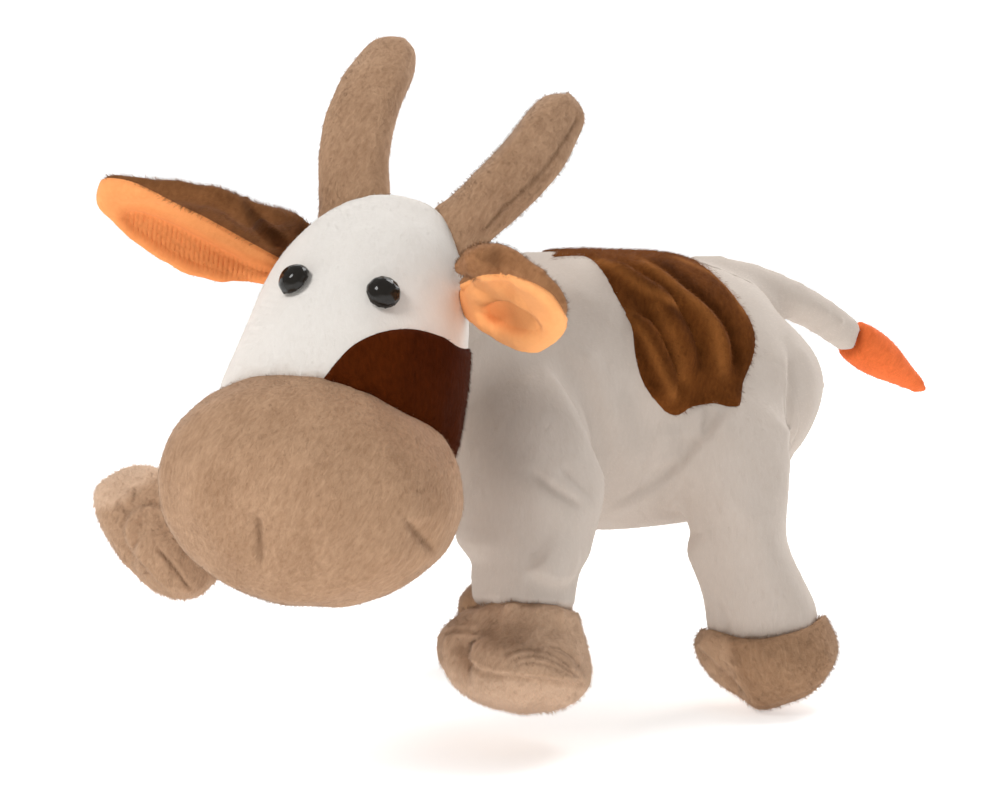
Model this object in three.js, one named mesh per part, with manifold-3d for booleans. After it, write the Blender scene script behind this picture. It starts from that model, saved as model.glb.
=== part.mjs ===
// A cow hand puppet in short plush: a hollow body sleeve that opens at the rump, a stuffed head on a
// soft neck, two finger sleeves for front legs, two stuffed hind legs, and a tail.
// Millimetres and degrees. +Z is up, the cow faces -Y and +X is its left side.
// The origin is the centre of the hand opening.

import * as THREE from "three";
import { mergeVertices } from "three/addons/utils/BufferGeometryUtils.js";
import Module from "manifold-3d";

const wasm = await Module();
wasm.setup();

// Cloth and clearances
const GAP = 0.35;
const SWING_GAP = 0.6;
const PLUSH = 3;
const LINING = 1;
const LINING_GAP = 0.5;
const PATCH = 1.6;

// Body sleeve, from the opening at the rump to the ball of the neck
const MOUTH_TILT = 26;
const MOUTH_WIDTH = 62;
const MOUTH_HEIGHT = 64;
const HEM_LENGTH = 8;
const HEM_FOLD = 1;
const RUMP_REACH = 25;
const RUMP_WIDTH = 83;
const RUMP_HEIGHT = 85;
const BARREL_FORWARD = 46;
const BARREL_RISE = 15.5;
const BARREL_WIDTH = 90;
const BARREL_HEIGHT = 93;
const CHEST_FORWARD = 86;
const CHEST_RISE = 17.5;
const CHEST_WIDTH = 89;
const CHEST_HEIGHT = 94;
const SHOULDER_FORWARD = 124;
const SHOULDER_RISE = 24;
const SHOULDER_WIDTH = 78;
const SHOULDER_HEIGHT = 82;
const NECK_FORWARD = 153;
const NECK_RISE = 36;
const NECK_RADIUS = 31;
const NECK_HOLE = 13;
const NECK_RIM = 80;
const SHOULDER_ANGLE = -22;
const HIP_ANGLE = -12;

// Saddle patch over the back, as it is seen from the side
const SADDLE_FRONT = 98;
const SADDLE_REAR = 46;
const SADDLE_LOW = 10;
const SADDLE_TOP = 80;

// The saddle's outline as shares of its length and height, from the front of the back and round
const SADDLE_OUTLINE = [
  [0.75, 1],
  [1, 0.55],
  [0.96, 0.2],
  [0.65, 0],
  [0.08, 0.04],
  [0.02, 0.3],
  [0, 0.55],
  [-0.04, 1],
];

// Head, in its own frame about the neck ball
const HEAD_YAW = 30.5;
const HEAD_ROLL = 7;
const CROWN_FORWARD = 33;
const CROWN_RISE = 32;
const CROWN_SIZE = 42;
const CROWN_DOME = 11;
const BROW_FORWARD = 46;
const BROW_RISE = 16;
const BROW_WIDTH = 58;
const BROW_DEPTH = 62;
const CHEEK_FORWARD = 62;
const CHEEK_DROP = 6;
const CHEEK_SIZE = 67;
const JAW_FORWARD = 76;
const JAW_DROP = 28;
const JAW_WIDTH = 74;
const JAW_DEPTH = 60;
const JAW_DOME = 18;
const POCKET_RADIUS = 11;
const POCKET_DEPTH = 66;
const POCKET_RISE = 15;
const MUZZLE_FORWARD = 85;
const MUZZLE_DROP = 35;
const MUZZLE_WIDTH = 86;
const MUZZLE_HEIGHT = 66;
const MUZZLE_LENGTH = 72;
const CHEEK_PATCH_WIDTH = 56;
const CHEEK_PATCH_HEIGHT = 44;
const CHEEK_PATCH_LEVEL = 0.85;
const CHEEK_PATCH_TURN = 34;

// Eyes, locked from inside by washers
const EYE_RADIUS = 5.2;
const EYE_HEIGHT = 4.4;
const EYE_SPREAD = 24;
const EYE_LEVEL = 0.53;
const SHANK_RADIUS = 1.5;
const WASHER_RADIUS = 6;
const WASHER_THICKNESS = 1.2;

// Horns
const HORN_LENGTH = 62;
const HORN_SPREAD = 16;
const HORN_BASE = 23;
const HORN_TIP = 20;
const HORN_DEPTH = 18;
const LEFT_HORN_SPLAY = 17;
const RIGHT_HORN_SPLAY = 4;
const HORN_LEAN_BASE = 8;
const HORN_LEAN_TIP = 56;
const HORN_STEPS = 4;

// Ears
const EAR_LENGTH = 66;
const EAR_ROOT = 6;
const EAR_BASE_WIDTH = 25;
const EAR_WIDTH = 38;
const EAR_OUTER_WIDTH = 34;
const EAR_TIP_WIDTH = 9;
const EAR_CUP = 150;
const EAR_TIP_CUP = 70;
const EAR_CLOTH = 2.4;
const EAR_LINING = 1.8;
const EAR_LEVEL = 0.15;
const LEFT_EAR_SWING = 52;
const LEFT_EAR_RISE = 4;
const RIGHT_EAR_SWING = 36;
const RIGHT_EAR_RISE = 12;
const EAR_TILT = 45;

// Front legs, sleeves for the thumb and a finger
const FRONT_LEG_TOP = 44;
const FRONT_LEG_MIDDLE = 38;
const LEFT_SHOULDER = 0.86;
const LEFT_REACH = 74;
const LEFT_FORWARD = 11;
const LEFT_SPLAY = 6;
const LEFT_TOES = 25;
const RIGHT_SHOULDER = 0.92;
const RIGHT_REACH = 83;
const RIGHT_FORWARD = 48;
const RIGHT_SPLAY = 31;
const RIGHT_TOES = -10;
const RIGHT_HOOF_ROLL = 35;
const RIGHT_HOOF_YAW = 25;
const FINGER_BORE = 20;
const FINGER_DEPTH = 44;
const FINGER_ENTRY = 8;
const FINGER_BEND = 14;

// Hind legs
const THIGH_WIDTH = 36;
const THIGH_DEPTH = 44;
const HIND_SHIN = 37;
const HIND_REACH = 72;
const HIP_SHARE = 0.47;
const LEFT_HIND_FORWARD = -7;
const RIGHT_HIND_FORWARD = 5;
const HIND_SPLAY = 6;
const HIND_TOES = -25;

// Hooves
const ANKLE = 36;
const SHIN_LEVEL = 0.6;
const HOOF_WIDTH = 47;
const HOOF_LENGTH = 46;
const HOOF_HEIGHT = 33;
const HEEL_WIDTH = 40;
const HEEL_HEIGHT = 31;
const TOE_WIDTH = 44;
const TOE_HEIGHT = 30;
const SOLE_THICKNESS = 2;
const SOLE_CUT = 4;
const CLEFT_WIDTH = 7;
const CLEFT_DEPTH = 11;

// Tail
const TAIL_SHARE = 0.3;
const TAIL_SINK = 4;
const TAIL_LENGTH = 90;
const TAIL_BASE = 18;
const TAIL_END = 14;
const TAIL_TIP_LENGTH = 48;
const TAIL_TIP_WIDTH = 16;
const TAIL_POINT = 5;
const TAIL_DROOP_BASE = 2;
const TAIL_DROOP_END = 44;
const TAIL_STEPS = 6;

// How far each sewn joint swings from rest
const HEAD_TURN = [-30, 12];
const HEAD_NOD = [-18, 8];
const EAR_FLAP = [-18, 18];
const LEFT_RAISE = [-15, 20];
const RIGHT_RAISE = [-25, 50];
const HIND_SWING = [-15, 25];
const TAIL_WAG = [-35, 35];

// Mesh fineness
const MERGE = 1e-4;
const BODY_SIDES = 16;
const BODY_RINGS = 9;
const HEAD_SIDES = 16;
const HEAD_RINGS = 6;
const LIMB_SIDES = 12;
const LIMB_RINGS = 5;
const HOOF_RINGS = 2;
const DOME_RINGS = 3;
const EAR_STEPS = 5;
const ROUND_SIDES = 12;
const SWING_STEP = 12;

// Colours of the cloth
const CREAM = 0xe7e2db;
const BROWN = 0x5a3013;
const BEIGE = 0xb8946f;
const ORANGE = 0xf08f4a;
const LINING_GREY = 0xd8d3cc;
const BLACK = 0x141210;

const LEFT = 1;
const RIGHT = -1;
const X_AXIS = new THREE.Vector3(1, 0, 0);
const Y_AXIS = new THREE.Vector3(0, 1, 0);
const Z_AXIS = new THREE.Vector3(0, 0, 1);

const radians = THREE.MathUtils.degToRad;
const vector = (x, y, z) => new THREE.Vector3(x, y, z);

// Closed solids from geometry, and meshes from solids

function geometryFrom(points, triangles) {
  const geometry = new THREE.BufferGeometry();
  const coordinates = points.flatMap((point) => point.toArray());
  geometry.setAttribute("position", new THREE.Float32BufferAttribute(coordinates, 3));
  geometry.setIndex(triangles.flat());
  return geometry;
}

function signedVolume(points, triangles) {
  const corner = (i) => new THREE.Vector3().fromArray(points, 3 * i);
  let volume = 0;
  for (let i = 0; i < triangles.length; i += 3) {
    const [a, b, c] = [triangles[i], triangles[i + 1], triangles[i + 2]].map(corner);
    volume += a.dot(b.cross(c)) / 6;
  }
  return volume;
}

function solidFrom(geometry) {
  const bare = geometry.clone();
  bare.deleteAttribute("normal");
  bare.deleteAttribute("uv");
  const merged = mergeVertices(bare, MERGE);
  const index = Array.from(merged.index.array);
  const points = new Float32Array(merged.getAttribute("position").array);
  const triangles = [];
  for (let i = 0; i < index.length; i += 3) {
    const [a, b, c] = index.slice(i, i + 3);
    if (a !== b && b !== c && c !== a) {
      triangles.push(a, b, c);
    }
  }
  if (signedVolume(points, triangles) < 0) {
    triangles.reverse();
  }
  const triVerts = new Uint32Array(triangles);
  return new wasm.Manifold(new wasm.Mesh({ numProp: 3, vertProperties: points, triVerts }));
}

// The largest body of a solid, without the crumbs that a cut leaves
function mainBody(solid) {
  const bodies = solid.decompose();
  return bodies.reduce((best, body) => (body.volume() > best.volume() ? body : best));
}

function addMesh(group, name, solid, color, roughness = 0.95) {
  const { vertProperties, triVerts } = mainBody(solid).getMesh();
  const geometry = new THREE.BufferGeometry();
  geometry.setAttribute("position", new THREE.BufferAttribute(vertProperties, 3));
  geometry.setIndex(new THREE.BufferAttribute(triVerts, 1));
  geometry.computeVertexNormals();
  const material = new THREE.MeshStandardMaterial({ color, roughness, metalness: 0 });
  const mesh = new THREE.Mesh(geometry, material);
  mesh.name = name;
  group.add(mesh);
}

function moved(solid, matrix) {
  return solid.transform(Array.from(matrix.elements));
}

// Cuts a swinging solid clear of an obstacle that its parent carries, over the whole swing
function clearOfSwing(solid, group, obstacle, axis, [low, high]) {
  const steps = Math.ceil((high - low) / SWING_STEP);
  group.updateMatrix();
  const still = group.matrix.clone().invert();
  let cleared = solid;
  for (let i = 0; i <= steps; i += 1) {
    const angle = radians(low + ((high - low) * i) / steps);
    const turn = new THREE.Matrix4().makeRotationAxis(axis, -angle).multiply(still);
    cleared = cleared.subtract(moved(obstacle, turn));
  }
  return cleared;
}

// A swinging group at its pivot. Its joint is kept with it: the axis is in the group's own frame.
function swingGroup(parent, pivot, name, axis, range) {
  const group = new THREE.Group();
  group.position.copy(pivot);
  group.userData.joint = { name, axis: axis.toArray(), range };
  parent.add(group);
  return group;
}

// Stuffed forms: oval rings along a curved centre line, with domed or flat ends

function loft(loops, startPole, endPole) {
  const sides = loops[0].length;
  const points = [...loops.flat(), startPole, endPole];
  const startIndex = points.length - 2;
  const endIndex = points.length - 1;
  const lastLoop = (loops.length - 1) * sides;
  const triangles = [];
  for (let j = 0; j < sides; j += 1) {
    const next = (j + 1) % sides;
    triangles.push([startIndex, next, j]);
    triangles.push([endIndex, lastLoop + j, lastLoop + next]);
    for (let i = 0; i < loops.length - 1; i += 1) {
      const near = i * sides;
      const far = near + sides;
      triangles.push([near + j, near + next, far + next]);
      triangles.push([near + j, far + next, far + j]);
    }
  }
  return geometryFrom(points, triangles);
}

class StuffedForm {
  constructor({ stations, sides, rings, startDome = 0, endDome = 0 }) {
    this.centres = new THREE.CatmullRomCurve3(stations.map(({ at }) => at));
    this.halves = new THREE.SplineCurve(
      stations.map(({ width, height }) => new THREE.Vector2(width / 2, height / 2)),
    );
    Object.assign(this, { sides, rings, startDome, endDome });
  }

  section(t) {
    const centre = this.centres.getPoint(t);
    const along = this.centres.getTangent(t);
    const across = X_AXIS.clone().addScaledVector(along, -X_AXIS.dot(along)).normalize();
    const up = new THREE.Vector3().crossVectors(along, across);
    const half = this.halves.getPoint(t);
    return { centre, along, across, up, half };
  }

  loop({ centre, along, across, up, half }, grow, shift = 0, shrink = 1) {
    return Array.from({ length: this.sides }, (_, j) => {
      const angle = (2 * Math.PI * j) / this.sides;
      return centre
        .clone()
        .addScaledVector(along, shift)
        .addScaledVector(across, (half.x + grow) * shrink * Math.cos(angle))
        .addScaledVector(up, (half.y + grow) * shrink * Math.sin(angle));
    });
  }

  solid({ grow = 0, startReach = 0, endReach = 0 } = {}) {
    const start = this.section(0);
    const end = this.section(1);
    const startLength = this.startDome ? this.startDome + grow : startReach;
    const endLength = this.endDome ? this.endDome + grow : endReach;
    const loops = [];
    for (let i = 0; i <= this.rings; i += 1) {
      loops.push(this.loop(this.section(i / this.rings), grow));
    }
    for (let k = 1; k < DOME_RINGS; k += 1) {
      const angle = ((k / DOME_RINGS) * Math.PI) / 2;
      if (this.startDome) {
        loops.unshift(this.loop(start, grow, -startLength * Math.sin(angle), Math.cos(angle)));
      }
      if (this.endDome) {
        loops.push(this.loop(end, grow, endLength * Math.sin(angle), Math.cos(angle)));
      }
    }
    if (!this.startDome && startReach) {
      loops.unshift(this.loop(start, grow, -startReach));
    }
    if (!this.endDome && endReach) {
      loops.push(this.loop(end, grow, endReach));
    }
    const startPole = start.centre.clone().addScaledVector(start.along, -startLength);
    const endPole = end.centre.clone().addScaledVector(end.along, endLength);
    return solidFrom(loft(loops, startPole, endPole));
  }

  ringPoint(t, angle) {
    const { centre, across, up, half } = this.section(t);
    return centre
      .addScaledVector(across, half.x * Math.cos(angle))
      .addScaledVector(up, half.y * Math.sin(angle));
  }

  // A point of the surface and its outward normal, at a share of the length and an angle in degrees
  surface(t, degrees) {
    const step = 1e-3;
    const angle = radians(degrees);
    const point = this.ringPoint(t, angle);
    const round = this.ringPoint(t, angle + step).sub(point);
    const forward = this.ringPoint(t + step, angle).sub(point);
    return { point, normal: round.cross(forward).normalize() };
  }
}

// A centre line that bends evenly: points at equal steps along a changing direction
function bentLine(start, length, steps, directionAt) {
  const points = [start.clone()];
  for (let i = 0; i < steps; i += 1) {
    const direction = directionAt((i + 0.5) / steps);
    points.push(points[i].clone().addScaledVector(direction, length / steps));
  }
  return points;
}

// A round solid turned about a line, from a profile of radius and height along it
function turned(profile, at, direction) {
  const points = profile.map(([radius, height]) => new THREE.Vector2(radius, height));
  const geometry = new THREE.LatheGeometry(points, ROUND_SIDES);
  geometry.applyQuaternion(new THREE.Quaternion().setFromUnitVectors(Y_AXIS, direction));
  geometry.translate(...at.toArray());
  return solidFrom(geometry);
}

function rod(radius, from, to, at, direction) {
  return turned([[0, from], [radius, from], [radius, to], [0, to]], at, direction);
}

// A ball whose flat facets all lie outside the radius
function ballAround(radius) {
  const facet = Math.PI / BODY_SIDES;
  return solidFrom(new THREE.SphereGeometry(radius / Math.cos(facet) ** 2, BODY_SIDES, BODY_SIDES / 2));
}

const puppet = new THREE.Group();

// Body

const mouthForward = vector(0, -Math.cos(radians(MOUTH_TILT)), Math.sin(radians(MOUTH_TILT)));
const neckPivot = vector(0, -NECK_FORWARD, NECK_RISE);

const bodyForm = new StuffedForm({
  stations: [
    { at: mouthForward.clone().multiplyScalar(HEM_LENGTH + GAP), width: MOUTH_WIDTH, height: MOUTH_HEIGHT },
    { at: mouthForward.clone().multiplyScalar(RUMP_REACH), width: RUMP_WIDTH, height: RUMP_HEIGHT },
    { at: vector(0, -BARREL_FORWARD, BARREL_RISE), width: BARREL_WIDTH, height: BARREL_HEIGHT },
    { at: vector(0, -CHEST_FORWARD, CHEST_RISE), width: CHEST_WIDTH, height: CHEST_HEIGHT },
    { at: vector(0, -SHOULDER_FORWARD, SHOULDER_RISE), width: SHOULDER_WIDTH, height: SHOULDER_HEIGHT },
    { at: neckPivot, width: 2 * NECK_RADIUS, height: 2 * NECK_RADIUS },
  ],
  sides: BODY_SIDES,
  rings: BODY_RINGS,
  endDome: NECK_RADIUS,
});

// A seat on the left or right flank
function flank(side, share, angle) {
  return bodyForm.surface(share, side === LEFT ? angle : 180 - angle).point;
}

const leftShoulder = flank(LEFT, LEFT_SHOULDER, SHOULDER_ANGLE);
const rightShoulder = flank(RIGHT, RIGHT_SHOULDER, SHOULDER_ANGLE);
const tailRoot = bodyForm.surface(TAIL_SHARE, 90).point;

// The way of the finger that works the head: in the head's frame, the neck's and the puppet's
const fingerInHead = vector(0, -Math.cos(radians(POCKET_RISE)), Math.sin(radians(POCKET_RISE)));
const fingerInNeck = fingerInHead.clone().applyAxisAngle(Y_AXIS, radians(HEAD_ROLL));
const fingerInBody = fingerInNeck.clone().applyAxisAngle(Z_AXIS, radians(HEAD_YAW));
const neckPassage = rod(NECK_HOLE, 0, 2 * NECK_RADIUS, neckPivot, fingerInBody);

// The holes through which the thumb and a finger reach the front legs
function shoulderPassage(shoulder) {
  return rod(FINGER_BORE / 2, -FINGER_BORE, FINGER_BORE, shoulder, X_AXIS);
}

function bodyShell(outer, inner, thickness) {
  const hollow = bodyForm.solid({ grow: inner, startReach: 2 * thickness });
  return bodyForm
    .solid({ grow: outer })
    .subtract(hollow)
    .subtract(neckPassage)
    .subtract(shoulderPassage(leftShoulder))
    .subtract(shoulderPassage(rightShoulder));
}

function addBody() {
  const liningOuter = -PLUSH - LINING_GAP;
  const liningInner = liningOuter - LINING;
  const neckLiningSpace = moved(
    ballAround(NECK_RADIUS + liningOuter + GAP),
    new THREE.Matrix4().makeTranslation(neckPivot),
  );
  const lining = bodyShell(liningOuter, liningInner, LINING).subtract(neckLiningSpace);
  addMesh(puppet, "body_sleeve", bodyShell(0, -PLUSH, PLUSH), CREAM);
  addMesh(puppet, "hand_lining", lining, LINING_GREY);
  addHem(-liningInner);
  addSaddle();
}

// The folded edge of the opening, an oval band behind the sleeve
function addHem(wall) {
  const shape = new THREE.Shape();
  shape.absellipse(0, 0, MOUTH_WIDTH / 2 + HEM_FOLD, MOUTH_HEIGHT / 2 + HEM_FOLD, 0, 2 * Math.PI);
  const hole = new THREE.Path();
  hole.absellipse(0, 0, MOUTH_WIDTH / 2 - wall, MOUTH_HEIGHT / 2 - wall, 0, 2 * Math.PI);
  shape.holes.push(hole);
  const geometry = new THREE.ExtrudeGeometry(shape, {
    depth: HEM_LENGTH,
    bevelEnabled: false,
    curveSegments: BODY_SIDES / 2,
  });
  const { across, up, along } = bodyForm.section(0);
  geometry.applyMatrix4(new THREE.Matrix4().makeBasis(across, up, along));
  addMesh(puppet, "opening_hem", solidFrom(geometry), CREAM);
}

// The saddle's outline pushed through the body from side to side, widened by a margin
function saddlePrism(margin) {
  const rear = SADDLE_REAR - margin;
  const low = SADDLE_LOW - margin;
  const length = SADDLE_FRONT + margin - rear;
  const height = SADDLE_TOP - low;
  const outline = SADDLE_OUTLINE.map(
    ([forward, rise]) => new THREE.Vector2(-rear - length * forward, low + height * rise),
  );
  const shape = new THREE.Shape(outline);
  const geometry = new THREE.ExtrudeGeometry(shape, { depth: 2 * BARREL_WIDTH, bevelEnabled: false });
  geometry.translate(0, 0, -BARREL_WIDTH);
  geometry.applyMatrix4(new THREE.Matrix4().makeBasis(Y_AXIS, Z_AXIS, X_AXIS));
  return solidFrom(geometry);
}

function addSaddle() {
  const shell = bodyForm.solid({ grow: GAP + PATCH }).subtract(bodyForm.solid({ grow: GAP }));
  addMesh(puppet, "saddle_patch", shell.intersect(saddlePrism(0)), BROWN);
}

// The body with its saddle, and the clearance that a swinging neighbour needs
function swingSpace() {
  const saddle = bodyForm.solid({ grow: GAP + PATCH + SWING_GAP }).intersect(saddlePrism(2 * SWING_GAP));
  return bodyForm.solid({ grow: SWING_GAP }).add(saddle);
}

// Neck: the part of the lining that turns with the head

const neck = swingGroup(puppet, neckPivot, "head_turn", Z_AXIS, HEAD_TURN);
neck.rotation.z = radians(HEAD_YAW);

function addNeck() {
  const facet = Math.cos(Math.PI / BODY_SIDES) ** 2;
  const outer = (NECK_RADIUS - PLUSH) * facet - GAP;
  const inner = outer - LINING;
  const hole = Math.asin(NECK_HOLE / inner);
  const rim = radians(NECK_RIM);
  const arc = (radius, from, to) =>
    Array.from({ length: DOME_RINGS + 1 }, (_, k) => {
      const angle = from + ((to - from) * k) / DOME_RINGS;
      return [radius * Math.sin(angle), radius * Math.cos(angle)];
    });
  const profile = [...arc(outer, hole, rim), ...arc(inner, rim, hole)];
  profile.push(profile[0]);
  addMesh(neck, "neck_lining", turned(profile, vector(0, 0, 0), fingerInNeck), LINING_GREY);
}

// Head

const head = swingGroup(neck, vector(0, 0, 0), "head_nod", X_AXIS, HEAD_NOD);
head.rotation.y = radians(HEAD_ROLL);

const headForm = new StuffedForm({
  stations: [
    { at: vector(0, -CROWN_FORWARD, CROWN_RISE), width: CROWN_SIZE, height: CROWN_SIZE },
    { at: vector(0, -BROW_FORWARD, BROW_RISE), width: BROW_WIDTH, height: BROW_DEPTH },
    { at: vector(0, -CHEEK_FORWARD, -CHEEK_DROP), width: CHEEK_SIZE, height: CHEEK_SIZE },
    { at: vector(0, -JAW_FORWARD, -JAW_DROP), width: JAW_WIDTH, height: JAW_DEPTH },
  ],
  sides: HEAD_SIDES,
  rings: HEAD_RINGS,
  startDome: CROWN_DOME,
  endDome: JAW_DOME,
});

const muzzleCore = MUZZLE_LENGTH / 8;
const muzzleForm = new StuffedForm({
  stations: [muzzleCore, -muzzleCore].map((back) => ({
    at: vector(0, back - MUZZLE_FORWARD, -MUZZLE_DROP),
    width: MUZZLE_WIDTH,
    height: MUZZLE_HEIGHT,
  })),
  sides: HEAD_SIDES,
  rings: 1,
  startDome: MUZZLE_LENGTH / 2 - muzzleCore,
  endDome: MUZZLE_LENGTH / 2 - muzzleCore,
});

const neckDish = ballAround(NECK_RADIUS + GAP);

const eyes = [
  { name: "left", seat: headForm.surface(EYE_LEVEL, 90 - EYE_SPREAD) },
  { name: "right", seat: headForm.surface(EYE_LEVEL, 90 + EYE_SPREAD) },
];

function addHead() {
  const muzzleSpace = muzzleForm.solid({ grow: GAP });
  let cover = headForm
    .solid()
    .subtract(headForm.solid({ grow: -PLUSH }))
    .subtract(neckDish)
    .subtract(muzzleSpace);
  let filling = headForm
    .solid({ grow: -PLUSH - GAP })
    .subtract(neckDish)
    .subtract(muzzleSpace)
    .subtract(rod(POCKET_RADIUS + GAP, 0, POCKET_DEPTH + GAP, vector(0, 0, 0), fingerInHead));
  const facetDepth = (CHEEK_SIZE / 2) * (1 - Math.cos(Math.PI / HEAD_SIDES));
  const roundness = WASHER_RADIUS ** 2 / BROW_DEPTH + facetDepth;
  const washerTop = -PLUSH - GAP - roundness;
  const washerBottom = washerTop - WASHER_THICKNESS;
  for (const { name, seat } of eyes) {
    const { point, normal } = seat;
    cover = cover.subtract(rod(SHANK_RADIUS + GAP, 2 * washerBottom, EYE_HEIGHT, point, normal));
    filling = filling.subtract(rod(WASHER_RADIUS + GAP, washerBottom - 2 * GAP, EYE_HEIGHT, point, normal));
    addEye(name, point, normal, washerBottom);
    addWasher(name, point, normal, washerTop, washerBottom);
  }
  addMesh(head, "head_cover", cover, CREAM);
  addMesh(head, "head_filling", filling, LINING_GREY);
  addMesh(head, "muzzle", muzzleForm.solid(), BEIGE);
  addFingerPocket();
  addCheekPatch(muzzleSpace);
}

function addEye(name, point, normal, shankEnd) {
  const dome = Array.from({ length: DOME_RINGS + 1 }, (_, k) => {
    const angle = ((k / DOME_RINGS) * Math.PI) / 2;
    return [EYE_RADIUS * Math.sin(angle), GAP + EYE_HEIGHT * Math.cos(angle)];
  });
  const profile = [...dome, [SHANK_RADIUS, GAP], [SHANK_RADIUS, shankEnd - GAP], [0, shankEnd - GAP]];
  addMesh(head, `eye_${name}`, turned(profile, point, normal), BLACK, 0.1);
}

function addWasher(name, point, normal, top, bottom) {
  const bore = SHANK_RADIUS + GAP;
  const profile = [[bore, top], [WASHER_RADIUS, top], [WASHER_RADIUS, bottom], [bore, bottom], [bore, top]];
  addMesh(head, `eye_washer_${name}`, turned(profile, point, normal), LINING_GREY, 0.4);
}

function addFingerPocket() {
  const bore = POCKET_RADIUS - LINING;
  const end = POCKET_DEPTH - LINING;
  const profile = [
    [0, POCKET_DEPTH],
    [POCKET_RADIUS, POCKET_DEPTH],
    [POCKET_RADIUS, 0],
    [bore, 0],
    [bore, end],
    [0, end],
  ];
  const cup = turned(profile, vector(0, 0, 0), fingerInHead);
  addMesh(head, "finger_pocket", cup.subtract(neckDish), LINING_GREY);
}

// The brown patch on the left cheek, above the muzzle
function addCheekPatch(muzzleSpace) {
  const { point, normal } = headForm.surface(CHEEK_PATCH_LEVEL, CHEEK_PATCH_TURN);
  const shape = new THREE.Shape();
  shape.absellipse(0, 0, CHEEK_PATCH_WIDTH / 2, CHEEK_PATCH_HEIGHT / 2, 0, 2 * Math.PI);
  const geometry = new THREE.ExtrudeGeometry(shape, {
    depth: CHEEK_SIZE / 2,
    bevelEnabled: false,
    curveSegments: ROUND_SIDES / 2,
  });
  geometry.translate(0, 0, -CHEEK_SIZE / 4);
  geometry.applyQuaternion(new THREE.Quaternion().setFromUnitVectors(Z_AXIS, normal));
  geometry.translate(...point.toArray());
  const shell = headForm.solid({ grow: GAP + PATCH }).subtract(headForm.solid({ grow: GAP }));
  const patch = shell.intersect(solidFrom(geometry)).subtract(muzzleSpace).subtract(neckDish);
  addMesh(head, "face_patch", patch, BROWN);
}

function addHorn(side, name) {
  const root = vector(side * HORN_SPREAD, -CROWN_FORWARD, CROWN_RISE);
  const line = bentLine(root, HORN_LENGTH, HORN_STEPS, (share) => {
    const lean = radians(HORN_LEAN_BASE + (HORN_LEAN_TIP - HORN_LEAN_BASE) * share);
    const splay = radians(side === LEFT ? LEFT_HORN_SPLAY : RIGHT_HORN_SPLAY);
    return vector(
      side * Math.sin(splay),
      Math.cos(splay) * Math.sin(lean),
      Math.cos(splay) * Math.cos(lean),
    );
  });
  const form = new StuffedForm({
    stations: line.map((at, i) => {
      const width = HORN_BASE + ((HORN_TIP - HORN_BASE) * i) / (line.length - 1);
      return { at, width, height: (width * HORN_DEPTH) / HORN_BASE };
    }),
    sides: LIMB_SIDES,
    rings: LIMB_RINGS,
    endDome: HORN_TIP / 2,
  });
  addMesh(head, `horn_${name}`, form.solid().subtract(headForm.solid({ grow: GAP })), BEIGE);
}

// Ears: a cupped leaf of plush with an orange lining in the cup

function cuppedLeaf(side, from, to) {
  const widthAt = new THREE.SplineCurve([
    new THREE.Vector2(0, EAR_BASE_WIDTH),
    new THREE.Vector2(1, EAR_WIDTH),
    new THREE.Vector2(2, EAR_OUTER_WIDTH),
    new THREE.Vector2(3, EAR_TIP_WIDTH),
  ]);
  const steps = EAR_STEPS;
  const points = [];
  for (const offset of [from, to]) {
    for (let i = 0; i <= steps; i += 1) {
      const share = i / steps;
      const cup = radians(EAR_CUP + (EAR_TIP_CUP - EAR_CUP) * share);
      const radius = widthAt.getPoint(share).y / cup;
      for (let j = 0; j <= steps; j += 1) {
        const angle = cup * (j / steps - 0.5);
        const across = (radius + offset) * Math.sin(angle);
        const back = (radius + offset) * Math.cos(angle) - radius;
        points.push(vector(-EAR_ROOT + (EAR_LENGTH + EAR_ROOT) * share, side * back, across));
      }
    }
  }
  const layer = (steps + 1) ** 2;
  const at = (top, i, j) => top * layer + i * (steps + 1) + j;
  const triangles = [];
  const quad = (a, b, c, d) => triangles.push([a, b, c], [a, c, d]);
  for (let i = 0; i < steps; i += 1) {
    for (let j = 0; j < steps; j += 1) {
      quad(at(1, i, j), at(1, i + 1, j), at(1, i + 1, j + 1), at(1, i, j + 1));
      quad(at(0, i, j), at(0, i, j + 1), at(0, i + 1, j + 1), at(0, i + 1, j));
    }
    quad(at(0, i, 0), at(0, i + 1, 0), at(1, i + 1, 0), at(1, i, 0));
    quad(at(0, i, steps), at(1, i, steps), at(1, i + 1, steps), at(0, i + 1, steps));
    quad(at(0, 0, i), at(1, 0, i), at(1, 0, i + 1), at(0, 0, i + 1));
    quad(at(0, steps, i), at(0, steps, i + 1), at(1, steps, i + 1), at(1, steps, i));
  }
  return solidFrom(geometryFrom(points, triangles));
}

function addEar(side, name) {
  const { point } = headForm.surface(EAR_LEVEL, side === LEFT ? 0 : 180);
  const swing = radians(side === LEFT ? LEFT_EAR_SWING : RIGHT_EAR_SWING);
  const rise = radians(side === LEFT ? LEFT_EAR_RISE : RIGHT_EAR_RISE);
  const ear = swingGroup(head, point, `ear_${name}_flap`, Z_AXIS, EAR_FLAP);
  const heading = side === LEFT ? -swing : Math.PI + swing;
  ear.rotation.set(side * radians(EAR_TILT), -rise, heading, "ZYX");
  const headSpace = headForm.solid({ grow: SWING_GAP });
  const cleared = (leaf) => clearOfSwing(leaf, ear, headSpace, Z_AXIS, EAR_FLAP);
  addMesh(ear, `ear_${name}_back`, cleared(cuppedLeaf(side, 0, EAR_CLOTH)), BROWN);
  addMesh(ear, `ear_${name}_lining`, cleared(cuppedLeaf(side, -GAP - EAR_LINING, -GAP)), ORANGE);
}

// Legs and hooves

// The way that a leg points: forward and outward angles from straight down
function legDirection(side, forward, splay) {
  const out = Math.sin(radians(splay));
  const down = Math.cos(radians(splay));
  return vector(side * out, -down * Math.sin(radians(forward)), -down * Math.cos(radians(forward)));
}

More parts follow.
